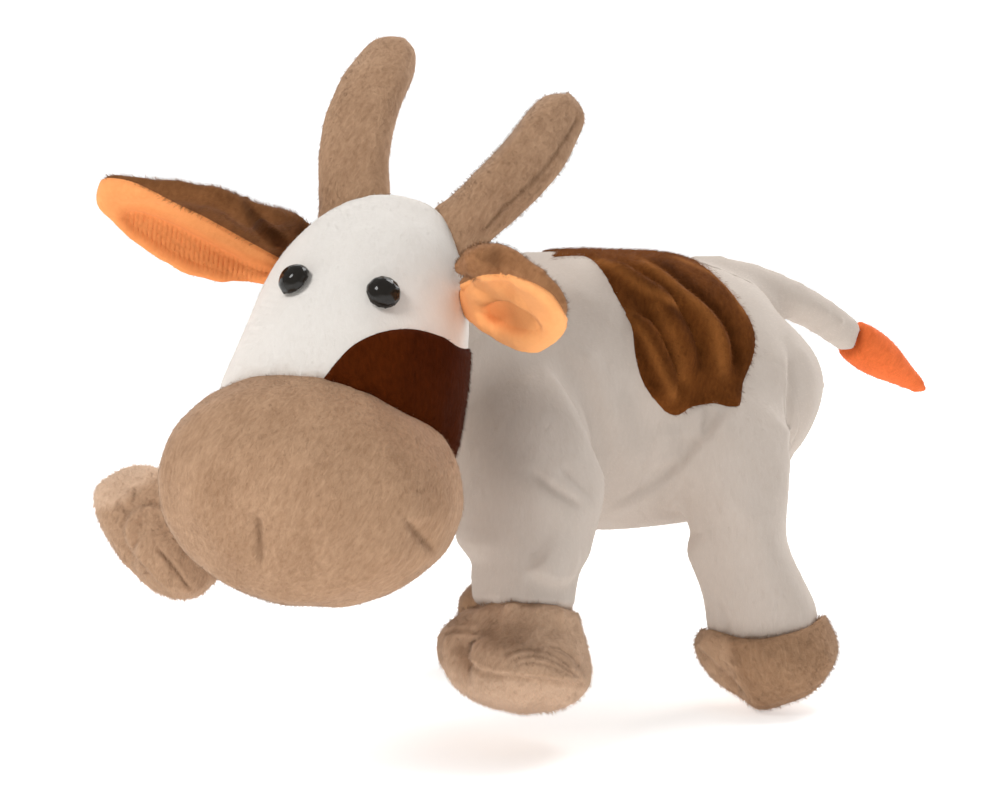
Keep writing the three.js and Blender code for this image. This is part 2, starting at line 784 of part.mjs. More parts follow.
function addLeg(shape) {
  const { side, end, name, joint, seat, range, direction, reach, turn, finger } = shape;
  const { top, topDepth, middle } = shape;
  const leg = swingGroup(puppet, seat, joint, X_AXIS, range);
  const along = (length) => direction.clone().multiplyScalar(length);
  const inside = vector((-side * top) / 4, 0, 0);
  const form = new StuffedForm({
    stations: [
      { at: inside, width: top, height: topDepth },
      { at: along(reach / 4), width: top, height: topDepth },
      { at: along(reach * SHIN_LEVEL), width: middle, height: middle },
      { at: along(reach - HOOF_HEIGHT / 4), width: ANKLE, height: ANKLE },
    ],
    sides: LIMB_SIDES,
    rings: LIMB_RINGS,
    startDome: top / 4,
  });
  let solid = clearOfSwing(form.solid(), leg, swingSpace(), X_AXIS, range);
  if (finger) {
    solid = solid.subtract(fingerSpace(side, direction));
  }
  addMesh(leg, `${name}_leg_${end}`, solid, CREAM);
  addHoof(leg, `${name}_hoof_${end}`, `${name}_sole_${end}`, along(reach), turn, form);
}

// The hollow of a finger sleeve, open towards the body
function fingerSpace(side, direction) {
  const form = new StuffedForm({
    stations: [
      { at: vector(-side * FINGER_BORE, 0, 0), width: FINGER_BORE, height: FINGER_BORE },
      { at: vector(-side * FINGER_ENTRY, 0, 0), width: FINGER_BORE, height: FINGER_BORE },
      { at: direction.clone().multiplyScalar(FINGER_BEND), width: FINGER_BORE, height: FINGER_BORE },
      { at: direction.clone().multiplyScalar(FINGER_DEPTH), width: FINGER_BORE, height: FINGER_BORE },
    ],
    sides: LIMB_SIDES,
    rings: LIMB_RINGS,
    endDome: FINGER_BORE / 4,
  });
  return form.solid();
}

function addHoof(leg, hoofName, soleName, at, { toes, roll = 0, yaw = 0 }, legForm) {
  const hoof = new THREE.Group();
  hoof.position.copy(at);
  hoof.rotation.set(-radians(toes), radians(roll), radians(yaw), "ZYX");
  leg.add(hoof);
  hoof.updateMatrix();
  const inHoof = (solid) => moved(solid, hoof.matrix.clone().invert());
  const core = HOOF_LENGTH / 4;
  const form = new StuffedForm({
    stations: [
      { at: vector(0, core, 0), width: HEEL_WIDTH, height: HEEL_HEIGHT },
      { at: vector(0, 0, 0), width: HOOF_WIDTH, height: HOOF_HEIGHT },
      { at: vector(0, -core, 0), width: TOE_WIDTH, height: TOE_HEIGHT },
    ],
    sides: LIMB_SIDES,
    rings: HOOF_RINGS,
    startDome: core,
    endDome: core,
  });
  const slab = (low, high) => {
    const box = new THREE.BoxGeometry(2 * HOOF_WIDTH, 2 * HOOF_LENGTH, high - low);
    box.translate(0, 0, (low + high) / 2);
    return solidFrom(box);
  };
  const soleBottom = SOLE_CUT - HOOF_HEIGHT / 2;
  const soleTop = soleBottom + SOLE_THICKNESS;
  const cleft = cleftCut();
  const upper = form.solid()
    .subtract(slab(-HOOF_HEIGHT, soleTop + GAP))
    .subtract(inHoof(legForm.solid({ grow: GAP, endReach: GAP })))
    .subtract(cleft);
  const sole = form.solid().intersect(slab(soleBottom, soleTop)).subtract(cleft);
  addMesh(hoof, hoofName, upper, BEIGE);
  addMesh(hoof, soleName, sole, BEIGE);
}

// The cleft between the two toes, a wedge from the front
function cleftCut() {
  const front = HOOF_LENGTH / 2;
  const shape = new THREE.Shape([
    new THREE.Vector2(-CLEFT_WIDTH / 2, -front),
    new THREE.Vector2(CLEFT_WIDTH / 2, -front),
    new THREE.Vector2(0, CLEFT_DEPTH - front),
  ]);
  const geometry = new THREE.ExtrudeGeometry(shape, { depth: 2 * HOOF_HEIGHT, bevelEnabled: false });
  geometry.translate(0, 0, -HOOF_HEIGHT);
  return solidFrom(geometry);
}

function addLegs() {
  const front = {
    name: "front",
    top: FRONT_LEG_TOP,
    topDepth: FRONT_LEG_TOP,
    middle: FRONT_LEG_MIDDLE,
    finger: true,
  };
  addLeg({
    ...front,
    side: LEFT,
    end: "left",
    joint: "front_leg_left_raise",
    range: LEFT_RAISE,
    direction: legDirection(LEFT, LEFT_FORWARD, LEFT_SPLAY),
    reach: LEFT_REACH,
    seat: leftShoulder,
    turn: { toes: LEFT_TOES },
  });
  addLeg({
    ...front,
    side: RIGHT,
    end: "right",
    joint: "front_leg_right_raise",
    range: RIGHT_RAISE,
    direction: legDirection(RIGHT, RIGHT_FORWARD, RIGHT_SPLAY),
    reach: RIGHT_REACH,
    seat: rightShoulder,
    turn: { toes: RIGHT_TOES, roll: RIGHT_HOOF_ROLL, yaw: RIGHT_HOOF_YAW },
  });
  const hind = [
    { side: LEFT, end: "left", forward: LEFT_HIND_FORWARD },
    { side: RIGHT, end: "right", forward: RIGHT_HIND_FORWARD },
  ];
  for (const { side, end, forward } of hind) {
    addLeg({
      name: "hind",
      side,
      end,
      joint: `hind_leg_${end}_swing`,
      seat: flank(side, HIP_SHARE, HIP_ANGLE),
      range: HIND_SWING,
      direction: legDirection(side, forward, HIND_SPLAY),
      reach: HIND_REACH,
      top: THIGH_WIDTH,
      topDepth: THIGH_DEPTH,
      middle: HIND_SHIN,
      turn: { toes: HIND_TOES },
      finger: false,
    });
  }
}

// Tail, with an orange tip that runs out flat

function addTail() {
  const tail = swingGroup(puppet, tailRoot, "tail_wag", Z_AXIS, TAIL_WAG);
  const whole = TAIL_LENGTH + TAIL_TIP_LENGTH;
  const root = vector(0, -TAIL_BASE / 2, -TAIL_SINK);
  const line = bentLine(root, whole, TAIL_STEPS, (share) => {
    const droop = radians(TAIL_DROOP_BASE + (TAIL_DROOP_END - TAIL_DROOP_BASE) * share);
    return vector(0, Math.cos(droop), -Math.sin(droop));
  });
  const tailSteps = Math.round((TAIL_STEPS * TAIL_LENGTH) / whole);
  const white = new StuffedForm({
    stations: line.slice(0, tailSteps + 1).map((at, i) => {
      const size = TAIL_BASE + ((TAIL_END - TAIL_BASE) * i) / tailSteps;
      return { at, width: size, height: size };
    }),
    sides: LIMB_SIDES,
    rings: LIMB_RINGS,
  });
  const { along, centre } = white.section(1);
  const beyond = (length) => centre.clone().addScaledVector(along, length);
  const tip = new StuffedForm({
    stations: [
      { at: beyond(GAP), width: TAIL_END, height: TAIL_END },
      { at: beyond(TAIL_TIP_LENGTH / 3), width: TAIL_TIP_WIDTH, height: TAIL_END },
      { at: beyond(TAIL_TIP_LENGTH - TAIL_POINT), width: TAIL_POINT, height: TAIL_POINT },
    ],
    sides: LIMB_SIDES,
    rings: LIMB_RINGS,
    endDome: TAIL_POINT,
  });
  addMesh(tail, "tail", clearOfSwing(white.solid(), tail, swingSpace(), Z_AXIS, TAIL_WAG), CREAM);
  addMesh(tail, "tail_tip", tip.solid(), ORANGE);
}

addBody();
addNeck();
addHead();
for (const [side, name] of [[LEFT, "left"], [RIGHT, "right"]]) {
  addHorn(side, name);
  addEar(side, name);
}
addLegs();
addTail();

export default puppet;
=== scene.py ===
import math

import bpy
import numpy as np
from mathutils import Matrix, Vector
from mathutils.bvhtree import BVHTree


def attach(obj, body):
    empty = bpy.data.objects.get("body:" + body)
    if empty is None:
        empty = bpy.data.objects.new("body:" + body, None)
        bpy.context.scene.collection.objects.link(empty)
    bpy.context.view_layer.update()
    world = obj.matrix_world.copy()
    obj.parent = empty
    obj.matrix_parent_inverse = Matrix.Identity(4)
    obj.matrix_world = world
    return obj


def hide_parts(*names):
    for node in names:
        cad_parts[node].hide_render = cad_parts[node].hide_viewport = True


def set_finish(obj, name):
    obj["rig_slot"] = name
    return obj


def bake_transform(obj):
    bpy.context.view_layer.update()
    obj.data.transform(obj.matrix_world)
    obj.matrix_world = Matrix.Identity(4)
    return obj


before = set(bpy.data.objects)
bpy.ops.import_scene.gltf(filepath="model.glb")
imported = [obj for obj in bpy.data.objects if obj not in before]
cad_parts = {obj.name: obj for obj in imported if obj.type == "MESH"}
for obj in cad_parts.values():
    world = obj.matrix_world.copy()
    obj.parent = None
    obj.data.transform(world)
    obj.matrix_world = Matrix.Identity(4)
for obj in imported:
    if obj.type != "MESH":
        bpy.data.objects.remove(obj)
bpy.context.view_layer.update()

bl_info = {
    "name": "Cow hand puppet",
    "version": (1, 0, 0),
    "blender": (4, 5, 0),
    "location": "View3D > Sidebar > Puppet",
    "description": "Dresses the packed frame of a plush cow hand puppet in skins, sewing and pile",
    "category": "Object",
}

MM = 0.001

# The photograph's camera: its place, its directions and the picture that it frames
VIEW_AZIMUTH = math.radians(48)
VIEW_ELEVATION = math.radians(5)
VIEW_PLACE = np.array([560.4, -626.6, 84.8]) * MM
VIEW_LENS = 85.0
VIEW_SENSOR = 36.0
PICTURE = (1000, 787)
FOCAL = VIEW_LENS / VIEW_SENSOR * PICTURE[0]
VIEW_FORWARD = np.array([
    -math.sin(VIEW_AZIMUTH) * math.cos(VIEW_ELEVATION),
    math.cos(VIEW_AZIMUTH) * math.cos(VIEW_ELEVATION),
    -math.sin(VIEW_ELEVATION),
])
VIEW_RIGHT = np.array([math.cos(VIEW_AZIMUTH), math.sin(VIEW_AZIMUTH), 0.0])
VIEW_UP = np.cross(VIEW_RIGHT, VIEW_FORWARD)

# The neck's pivot and ball, the head's side, the hand opening, the floor, and a pixel's size on the puppet
NECK = np.array([0.0, -153.0, 36.0]) * MM
NECK_BALL = 31.4 * MM
HEAD_SIDE = np.array([0.8552, 0.5038, -0.1219])
MOUTH_OUT = np.array([0.0, 0.8988, -0.4384])
MOUTH_UP = np.array([0.0, 0.4384, 0.8988])
TAIL = np.array([0.0, -25.34, 58.07]) * MM
FLOOR = -84.5 * MM
PIXEL = 0.335 * MM
MOST_STRANDS = 49000
# The voxel of each kind of skin in millimetres, and the rounds that smooth out its facets
VOXELS = {
    "body": (4.7, 5), "limb": (3.6, 6), "hoof": (2.3, 6), "head": (3.3, 5), "muzzle": (3.4, 4), "ear": (1.0, 10),
    "horn": (2.2, 4), "eye": (0.45, 8), "tail_tip": (2, 4), "hem": (1.6, 5)}
# How stuffing swells a skin, and for how many frames
CLOTH = {
    "quality": 4, "mass": 0.2, "tension_stiffness": 12, "compression_stiffness": 12, "bending_stiffness": 0.6,
    "use_pressure": True, "uniform_pressure_force": 4}
SWELL_FRAMES = 20


def distance(label, note, default, least, most):
    return bpy.props.FloatProperty(
        name=label, description=note, default=default, min=least, max=most, subtype="DISTANCE", unit="LENGTH",
        precision=4)


def colour(label, note, *default):
    return bpy.props.FloatVectorProperty(
        name=label, description=note, size=3, subtype="COLOR", min=0.0, max=1.0, default=default)


class PuppetSizes(bpy.types.PropertyGroup):
    """Sizes of the plush and its stuffing."""

    pile_length: distance("Pile length", "How far the pile stands out of its backing", 0.0013, 0.0003, 0.006)
    pile_density: bpy.props.FloatProperty(
        name="Pile density", description="Strands drawn on a square millimetre of plush",
        default=1.0, min=0.0, max=3.0)
    cloth: distance("Cloth", "Thickness of the plush's backing", 0.0016, 0.0005, 0.004)
    swell: distance("Swell", "The furthest that the stuffing pushes a skin out", 0.0018, 0.0, 0.006)


class PuppetColours(bpy.types.PropertyGroup):
    """Colours of the plush, the cloth and the plastic."""

    white: colour("White", "Pile of the head", 0.80, 0.762, 0.715)
    # The body's cream is darker than the head's white partly as painted shade, as the body lies in less light
    cream: colour("Cream", "Pile of the body, the legs and the tail", 0.605, 0.532, 0.472)
    brown: colour("Brown", "Pile of the saddle", 0.20, 0.064, 0.014)
    dark: colour("Dark brown", "Pile of the cheek's patch, brushed down", 0.085, 0.016, 0.002)
    beige: colour("Beige", "Pile of the muzzle, the horns and the front hooves", 0.48, 0.300, 0.185)
    # The front hooves' beige made darker for the hind hooves, as painted shade
    fawn: colour("Fawn", "Pile of the hind hooves, brushed down", 0.38, 0.222, 0.125)
    orange: colour("Orange", "Pile of the right ear's lining", 0.98, 0.36, 0.125)
    # The right ear's orange made lighter for the left ear's lining, as painted light
    apricot: colour("Apricot", "Pile of the left ear's lining, which faces the light", 1.0, 0.46, 0.18)
    rust: colour("Rust", "Pile of the tail's tip", 0.95, 0.205, 0.058)
    # One brown plush for both ears' backs: the left one's made lighter as painted sheen and light, the right one's
    # darker as painted shade
    tan: colour("Tan", "Pile of the left ear's back, brushed up", 0.42, 0.205, 0.095)
    chestnut: colour("Chestnut", "Pile of the right ear's back, brushed down", 0.24, 0.10, 0.038)
    lining: colour("Lining", "Woven cloth inside the body", 0.62, 0.56, 0.48)
    eye: colour("Eye", "Plastic of the eyes", 0.012, 0.010, 0.008)
    washer: colour("Washer", "Plastic of the washers behind the eyes", 0.75, 0.75, 0.72)


# Tools for shaping a piece

def activate(*pieces):
    """Selects only these pieces and makes the first one active."""
    bpy.ops.object.select_all(action="DESELECT")
    for piece in pieces:
        piece.select_set(True)
    bpy.context.view_layer.objects.active = pieces[0]


def edit(piece, *tools):
    """Runs mesh tools over the whole of a piece."""
    activate(piece)
    bpy.ops.object.mode_set(mode="EDIT")
    for tool in tools:
        bpy.ops.mesh.select_all(action="SELECT")
        tool()
    bpy.ops.object.mode_set(mode="OBJECT")


def shape(piece, kind, **settings):
    """Adds one modifier to a piece and applies it."""
    activate(piece)
    modifier = piece.modifiers.new(kind.title(), kind)
    for key, value in settings.items():
        setattr(modifier, key, value)
    bpy.ops.object.modifier_apply(modifier=modifier.name)


def merge():
    bpy.ops.mesh.remove_doubles(threshold=2e-5)


def copy_of(name, *nodes):
    """A new piece from the meshes of CAD nodes, which stay as they are."""
    parts = []
    for node in nodes:
        part = bpy.data.objects.new(name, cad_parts[node].data.copy())
        part.data.materials.clear()
        bpy.context.scene.collection.objects.link(part)
        parts.append(part)
    activate(*parts)
    if len(parts) > 1:
        bpy.ops.object.join()
    piece = parts[0]
    piece.name = piece.data.name = name
    edit(piece, merge)
    return piece


def twin(name, piece):
    """A second piece with a mesh of its own."""
    copy = bpy.data.objects.new(name, piece.data.copy())
    bpy.context.scene.collection.objects.link(copy)
    copy.data.name = name
    return copy


def remove(piece):
    mesh = piece.data
    bpy.data.objects.remove(piece)
    bpy.data.meshes.remove(mesh)


def points(piece):
    flat = np.empty(len(piece.data.vertices) * 3, np.float32)
    piece.data.vertices.foreach_get("co", flat)
    return flat.reshape(-1, 3).astype(float)


def place(piece, places):
    piece.data.vertices.foreach_set("co", np.asarray(places, np.float32).ravel())
    piece.data.update()


def normals(piece):
    flat = np.empty(len(piece.data.vertices) * 3, np.float32)
    piece.data.vertex_normals.foreach_get("vector", flat)
    return flat.reshape(-1, 3).astype(float)


def even_out(piece, rounds):
    shape(piece, "SMOOTH", factor=0.5, iterations=rounds)


def remesh(piece, kind):
    """Turns a piece into an even skin of squares and smooths out the facets."""
    voxel, rounds = VOXELS[kind]
    shape(piece, "REMESH", mode="VOXEL", voxel_size=voxel * MM, use_smooth_shade=True)
    even_out(piece, rounds)


def refine(piece, levels):
    shape(piece, "SUBSURF", levels=levels, render_levels=levels)


def hull(piece):
    edit(piece, bpy.ops.mesh.convex_hull)


def puff(piece, height):
    shape(piece, "DISPLACE", strength=height, mid_level=0.0)


def plump(piece, cap, fixed=None):
    """Swells a closed skin with Cloth's pressure, as stuffing does, and no further than the cap."""
    before = points(piece)
    activate(piece)
    modifier = piece.modifiers.new("Cloth", "CLOTH")
    for key, value in CLOTH.items():
        setattr(modifier.settings, key, value)
    modifier.settings.effector_weights.gravity = 0
    scene = bpy.context.scene
    for step in range(1, SWELL_FRAMES + 1):
        scene.frame_set(step)
    bpy.ops.object.modifier_apply(modifier=modifier.name)
    scene.frame_set(1)
    moved = points(piece) - before
    far = np.linalg.norm(moved, axis=1, keepdims=True)
    moved *= np.minimum(1.0, cap / np.maximum(far, 1e-9))
    if fixed is not None:
        moved[fixed(before)] = 0.0
    place(piece, before + moved)


def tree_of(piece):
    return BVHTree.FromPolygons(
        [tuple(p) for p in points(piece)], [tuple(f.vertices) for f in piece.data.polygons])


def gap_to(tree, places, reach=1.0):
    """Distance from each place to a surface, and the surface's nearest point and its direction."""
    gaps = np.full(len(places), reach)
    near = np.array(places, float)
    out = np.zeros((len(places), 3))
    for i, p in enumerate(places):
        spot, normal, _, gap = tree.find_nearest(Vector(p), reach)
        if spot is not None:
            gaps[i], near[i], out[i] = gap, spot, normal
    return gaps, near, out


def spread(line, step):
    """Points along a line through the given ones, curved and evenly close together."""
    line = np.asarray(line, float)
    if len(line) > 2:
        ends = np.vstack([2 * line[0] - line[1], line, 2 * line[-1] - line[-2]])
        t = np.linspace(0, 1, 12, endpoint=False)[:, None]
        parts = []
        for a, b, c, d in zip(ends, ends[1:], ends[2:], ends[3:]):
            parts.append(0.5 * (2 * b + (c - a) * t + (2 * a - 5 * b + 4 * c - d) * t**2
                                + (3 * b - a - 3 * c + d) * t**3))
        line = np.vstack(parts + [line[-1:]])
    lengths = np.r_[0, np.cumsum(np.linalg.norm(np.diff(line, axis=0), axis=1))]
    count = max(2, int(lengths[-1] / step) + 1)
    at = np.linspace(0, lengths[-1], count)
    return np.column_stack([np.interp(at, lengths, line[:, k]) for k in range(line.shape[1])])


def ray(pixel):
    """The direction in which the photograph's camera sees a pixel."""
    way = (VIEW_FORWARD + VIEW_RIGHT * (pixel[0] - PICTURE[0] / 2) / FOCAL
           + VIEW_UP * (PICTURE[1] / 2 - pixel[1]) / FOCAL)
    return way / np.linalg.norm(way)


def pixels_of(places):
    """Where the photograph's camera shows places."""
    off = places - VIEW_PLACE
    scale = FOCAL / (off @ VIEW_FORWARD)
    return np.column_stack([PICTURE[0] / 2 + off @ VIEW_RIGHT * scale, PICTURE[1] / 2 - off @ VIEW_UP * scale])


def in_view(flat):
    """Steps on the photograph, in pixels, as ways in space."""
    return flat[:, :1] * VIEW_RIGHT - flat[:, 1:] * VIEW_UP


def traced(pixels, *pieces):
    """Where a line drawn on the photograph falls on the nearest of these pieces."""
    trees = [tree_of(piece) for piece in pieces]
    line = []
    for pixel in spread(pixels, 5.0):
        hits = [tree.ray_cast(Vector(VIEW_PLACE), Vector(ray(pixel))) for tree in trees]
        hits = [hit for hit in hits if hit[0] is not None]
        if hits:
            line.append(min(hits, key=lambda hit: hit[3])[0])
    if len(line) < 2:
        raise RuntimeError(f"a line at {pixels[0]} misses its piece")
    return np.array(line)


def along(places, line):
    """Distance of each place to a line, how far along it is, the nearest point on it and its way there."""
    a, b = line[:-1], line[1:]
    step = b - a
    size = np.maximum((step**2).sum(1), 1e-18)
    done = np.r_[0, np.cumsum(np.sqrt(size))]
    best = np.full(len(places), 1e9)
    share = np.zeros(len(places))
    near, way = np.zeros((len(places), 3)), np.zeros((len(places), 3))
    for i in range(len(a)):
        t = np.clip(((places - a[i]) @ step[i]) / size[i], 0, 1)
        spot = a[i] + t[:, None] * step[i]
        gap = np.linalg.norm(places - spot, axis=1)
        closer = gap < best
        best[closer], near[closer], way[closer] = gap[closer], spot[closer], step[i] / math.sqrt(size[i])
        share[closer] = (done[i] + t[closer] * math.sqrt(size[i])) / done[-1]
    return best, share, near, way


def ramp(value, low, high):
    t = np.clip((value - low) / (high - low), 0, 1)
    return t * t * (3 - 2 * t)


def marked(piece, name):
    values = np.empty(len(piece.data.vertices), np.float32)
    piece.data.attributes[name].data.foreach_get("value", values)
    return values


def mark(piece, name, values):
    """Stores a value at each point of a piece, the larger one where there is one already."""
    values = np.asarray(values, np.float32)
    layer = piece.data.attributes.get(name)
    if layer is None:
        layer = piece.data.attributes.new(name, "FLOAT", "POINT")
    else:
        values = np.maximum(marked(piece, name), values)
    layer.data.foreach_set("value", values)


def sew(piece, line, depth, width, fade, dark):
    """Pulls a stitched furrow into a piece along a line, and darkens it: the stitching's own dark, and painted shade
    in the furrow and in creases.
    """
    here = points(piece)
    gap, share, _, _ = along(here, line)
    ends = ramp(share, 0, fade) * ramp(1 - share, 0, fade)
    pull = np.exp(-(gap / width) ** 2) * ends
    place(piece, here - normals(piece) * (depth * pull)[:, None])
    mark(piece, "seam", dark * np.exp(-(gap / (0.55 * width)) ** 2) * ends)


def fold(piece, line, height, width):
    """Raises a soft fold along a line."""
    here = points(piece)
    gap, share, _, _ = along(here, line)
    ends = ramp(share, 0, 0.3) * ramp(1 - share, 0, 0.3)
    lift = height * np.exp(-(gap / width) ** 2)
    place(piece, here + normals(piece) * (lift * ends)[:, None])


def dent(piece, spot, depth, width, dark=0.0):
    """Presses a dimple in round one point, and paints shade into it as dark as asked."""
    here = points(piece)
    gap = np.linalg.norm(here - np.asarray(spot, float), axis=1)
    place(piece, here - normals(piece) * (depth * np.exp(-(gap / width) ** 2))[:, None])
    mark(piece, "seam", dark * np.exp(-(gap / (0.5 * width)) ** 2))


def softened(piece, values, rounds):
    """Values at the points of a piece, each averaged with its neighbours' again and again."""
    ends = np.empty(len(piece.data.edges) * 2, np.int32)
    piece.data.edges.foreach_get("vertices", ends)
    a, b = ends.reshape(-1, 2).T
    count = len(values)
    shares = np.maximum(np.bincount(a, minlength=count) + np.bincount(b, minlength=count), 1)
    for _ in range(rounds):
        values = (np.bincount(a, values[b], count) + np.bincount(b, values[a], count)) / shares
    return values


def overlap(piece, line, height, reach, edge, dark=0.0, level=False):
    """Lays the cloth on the left of a line, as the camera sees it, over the cloth on its right.
    It falls away from the line at once, or only beyond its reach if it is level. Its darkness is painted shade on
    the cloth under its edge."""
    here = points(piece)
    gap, share, near, way = along(here, line)
    left = gap * np.sign(np.cross(way, here - near) @ -VIEW_FORWARD)
    ends = ramp(share, 0, 0.2) * ramp(1 - share, 0, 0.2)
    fall = 1 - ramp(left, reach, 2.4 * reach) if level else np.exp(-(np.maximum(left, 0) / reach) ** 2)
    rise = fall / (1 + np.exp(np.clip(-3 * left / edge, -50, 50)))
    rise -= 0.3 * np.exp(-((left + 1.2 * edge) / (1.4 * edge)) ** 2)
    rise *= ends
    if level:
        soft = softened(piece, rise, 70)
        rise = soft + (rise - soft) * np.exp(-(gap / (1.6 * edge)) ** 2)
    place(piece, here + normals(piece) * (height * rise)[:, None])
    mark(piece, "seam", dark * np.exp(-((left + 0.7 * edge) / edge) ** 2) * ends)


def draw_out(piece, spine, first, second, starts, tip=False):
    """Draws the two sides of a long piece, and its tip if asked, to outlines drawn on the photograph."""
    spine = np.asarray(spine, float)
    axis = spine[1] - spine[0]
    length = np.linalg.norm(axis)
    axis /= length
    turn = np.column_stack([axis, [-axis[1], axis[0]]])
    here = points(piece)
    depth = (here - VIEW_PLACE) @ VIEW_FORWARD / FOCAL
    flat = (pixels_of(here) - spine[0]) @ turn
    if tip:
        longer = np.maximum(flat[:, 0], 0) * (length / flat[:, 0].max() - 1)
        here += (longer * depth)[:, None] * (turn[0, 0] * VIEW_RIGHT - turn[1, 0] * VIEW_UP)
        flat[:, 0] += longer
    marks = np.arange(0, length, 4.0) + 2
    kept = (flat[:, 0] >= 0) & (flat[:, 0] < length)
    number = np.minimum((flat[kept, 0] / 4).astype(int), len(marks) - 1)
    edges = np.array([np.full(len(marks), np.inf), np.full(len(marks), -np.inf)])
    np.minimum.at(edges[0], number, flat[kept, 1])
    np.maximum.at(edges[1], number, flat[kept, 1])
    seen = edges[1] > edges[0]
    edges = np.array([np.interp(marks, marks[seen], edge[seen]) for edge in edges])
    wanted = []
    for outline in (first, second):
        at = (np.asarray(outline, float) - spine[0]) @ turn
        order = np.argsort(at[:, 0])
        wanted.append(np.interp(marks, at[order, 0], at[order, 1]))
    if wanted[0].mean() > wanted[1].mean():
        wanted, starts = wanted[::-1], starts[::-1]
    middle = np.interp(flat[:, 0], marks, edges.mean(axis=0))
    last = max(1, int((length - 0.35 * (wanted[1] - wanted[0]).mean()) / 4))
    kernel = np.exp(-0.5 * (np.arange(-4, 5) / 2.0) ** 2)
    move = np.zeros(len(here))
    for edge, line, start, sign in zip(edges, wanted, starts, (-1, 1)):
        gap = line - edge
        gap[last:] = gap[last - 1]
        gap = np.convolve(np.pad(gap, 4, mode="edge"), kernel / kernel.sum(), "valid")
        reach = np.maximum(np.abs(np.interp(flat[:, 0], marks, edge) - middle), 1.0)
        share = np.clip(sign * (flat[:, 1] - middle) / reach, 0, 1.2)
        move += ramp(flat[:, 0], *start) * share * np.interp(flat[:, 0], marks, gap)
    place(piece, here + (move * depth)[:, None] * (turn[0, 1] * VIEW_RIGHT - turn[1, 1] * VIEW_UP))


def fit(piece, centre, outline, most=0.35, hold=0.0):
    """Draws a piece's outline in or out, square to the photograph's view, to an outline drawn on it.
    What lies nearer to the centre than hold, as a share of the outline's distance, stays."""
    here = points(piece)
    off = pixels_of(here) - centre
    angle, far = np.arctan2(off[:, 1], off[:, 0]), np.hypot(off[:, 0], off[:, 1])
    bins = 90
    marks = (np.arange(bins) + 0.5) * 2 * math.pi / bins - math.pi
    number = ((angle + math.pi) / (2 * math.pi) * bins).astype(int) % bins
    reach = np.zeros(bins)
    np.maximum.at(reach, number, far)
    line = np.asarray(outline, float) - centre
    turns = np.unwrap(np.arctan2(line[:, 1], line[:, 0]))
    if turns[-1] < turns[0]:
        turns, line = turns[::-1], line[::-1]
    sizes = np.hypot(line[:, 0], line[:, 1])
    ratio = np.ones(bins)
    for i in range(bins):
        for turn in (marks[i] - 2 * math.pi, marks[i], marks[i] + 2 * math.pi):
            if turns[0] <= turn <= turns[-1] and reach[i] > 0:
                ratio[i] = np.interp(turn, turns, sizes) / reach[i]
    ratio = np.clip(ratio, 1 - most, 1 + most)
    kernel = np.exp(-0.5 * (np.arange(-4, 5) / 1.6) ** 2)
    smooth = np.convolve(np.r_[ratio[-4:], ratio, ratio[:4]], kernel / kernel.sum(), "valid")
    scale = np.interp(angle, np.r_[marks[-1] - 2 * math.pi, marks, marks[0] + 2 * math.pi],
                      np.r_[smooth[-1], smooth, smooth[0]]) - 1
    if hold:
        scale *= ramp(far / np.maximum(reach[number], 1.0), hold, 1.0)
    depth = (here - VIEW_PLACE) @ VIEW_FORWARD / FOCAL
    place(piece, here + in_view(off) * (scale * depth)[:, None])


def shade_along(piece, name, line, strength, width):
    """Marks a soft stripe along a line."""
    gap, share, _, _ = along(points(piece), line)
    mark(piece, name, strength * np.exp(-(gap / width) ** 2) * ramp(share, 0, 0.15) * ramp(1 - share, 0, 0.15))


def even_edge(piece, rounds):
    """Smooths the open edge of a piece along itself."""
    mesh = piece.data
    sides = np.empty(len(mesh.loops), np.int32)
    mesh.loops.foreach_get("edge_index", sides)
    ends = np.empty(len(mesh.edges) * 2, np.int32)
    mesh.edges.foreach_get("vertices", ends)
    ends = ends.reshape(-1, 2)[np.bincount(sides, minlength=len(mesh.edges)) == 1]
    here = points(piece)
    for _ in range(rounds):
        total, count = np.zeros_like(here), np.zeros(len(here))
        for a, b in (ends.T, ends.T[::-1]):
            np.add.at(total, a, here[b])
            np.add.at(count, a, 1)
        edge = count > 0
        here[edge] = 0.5 * here[edge] + 0.5 * total[edge] / count[edge, None]
    place(piece, here)


def ruffle(piece, height, grain, seed):
    """Soft unevenness of hand-sewn cloth over a piece."""
    rng = np.random.default_rng(seed)
    here = points(piece)
    waves = np.zeros(len(here))
    for _ in range(9):
        way = rng.normal(size=3)
        way *= 2 * math.pi / grain / np.linalg.norm(way) * rng.uniform(0.6, 1.5)
        waves += np.sin(here @ way + rng.uniform(0, 2 * math.pi))
    place(piece, here + normals(piece) * (height * waves / 4)[:, None])


def smooth_look(piece, angle=None):
    activate(piece)
    if angle is None:
        bpy.ops.object.shade_smooth()
    else:
        bpy.ops.object.shade_smooth_by_angle(angle=math.radians(angle))


def strip(piece, gone):
    """Takes away the points of a piece that a mask names."""
    mesh = piece.data
    for kind in (mesh.polygons, mesh.edges):
        kind.foreach_set("select", np.zeros(len(kind), bool))
    mesh.vertices.foreach_set("select", np.asarray(gone, bool))
    activate(piece)
    bpy.ops.object.mode_set(mode="EDIT")
    bpy.ops.mesh.select_mode(type="VERT")
    bpy.ops.object.mode_set(mode="OBJECT")
    mesh.vertices.foreach_set("select", np.asarray(gone, bool))
    bpy.ops.object.mode_set(mode="EDIT")
    bpy.ops.mesh.delete(type="VERT")
    bpy.ops.object.mode_set(mode="OBJECT")


def line_inside(piece, thickness):
    """Gives an open skin a wall, and keeps how many of its points lie outside."""
    piece["outside"] = len(piece.data.vertices)
    shape(piece, "SOLIDIFY", thickness=thickness, offset=-1)


def sink(piece, tree, reach, depth):
    """Moves the points of a piece that touch a surface some way under it."""
    here = points(piece)
    gap, _, out = gap_to(tree, here, 2 * reach)
    sunk = gap < reach
    here[sunk] -= out[sunk] * depth
    place(piece, here)


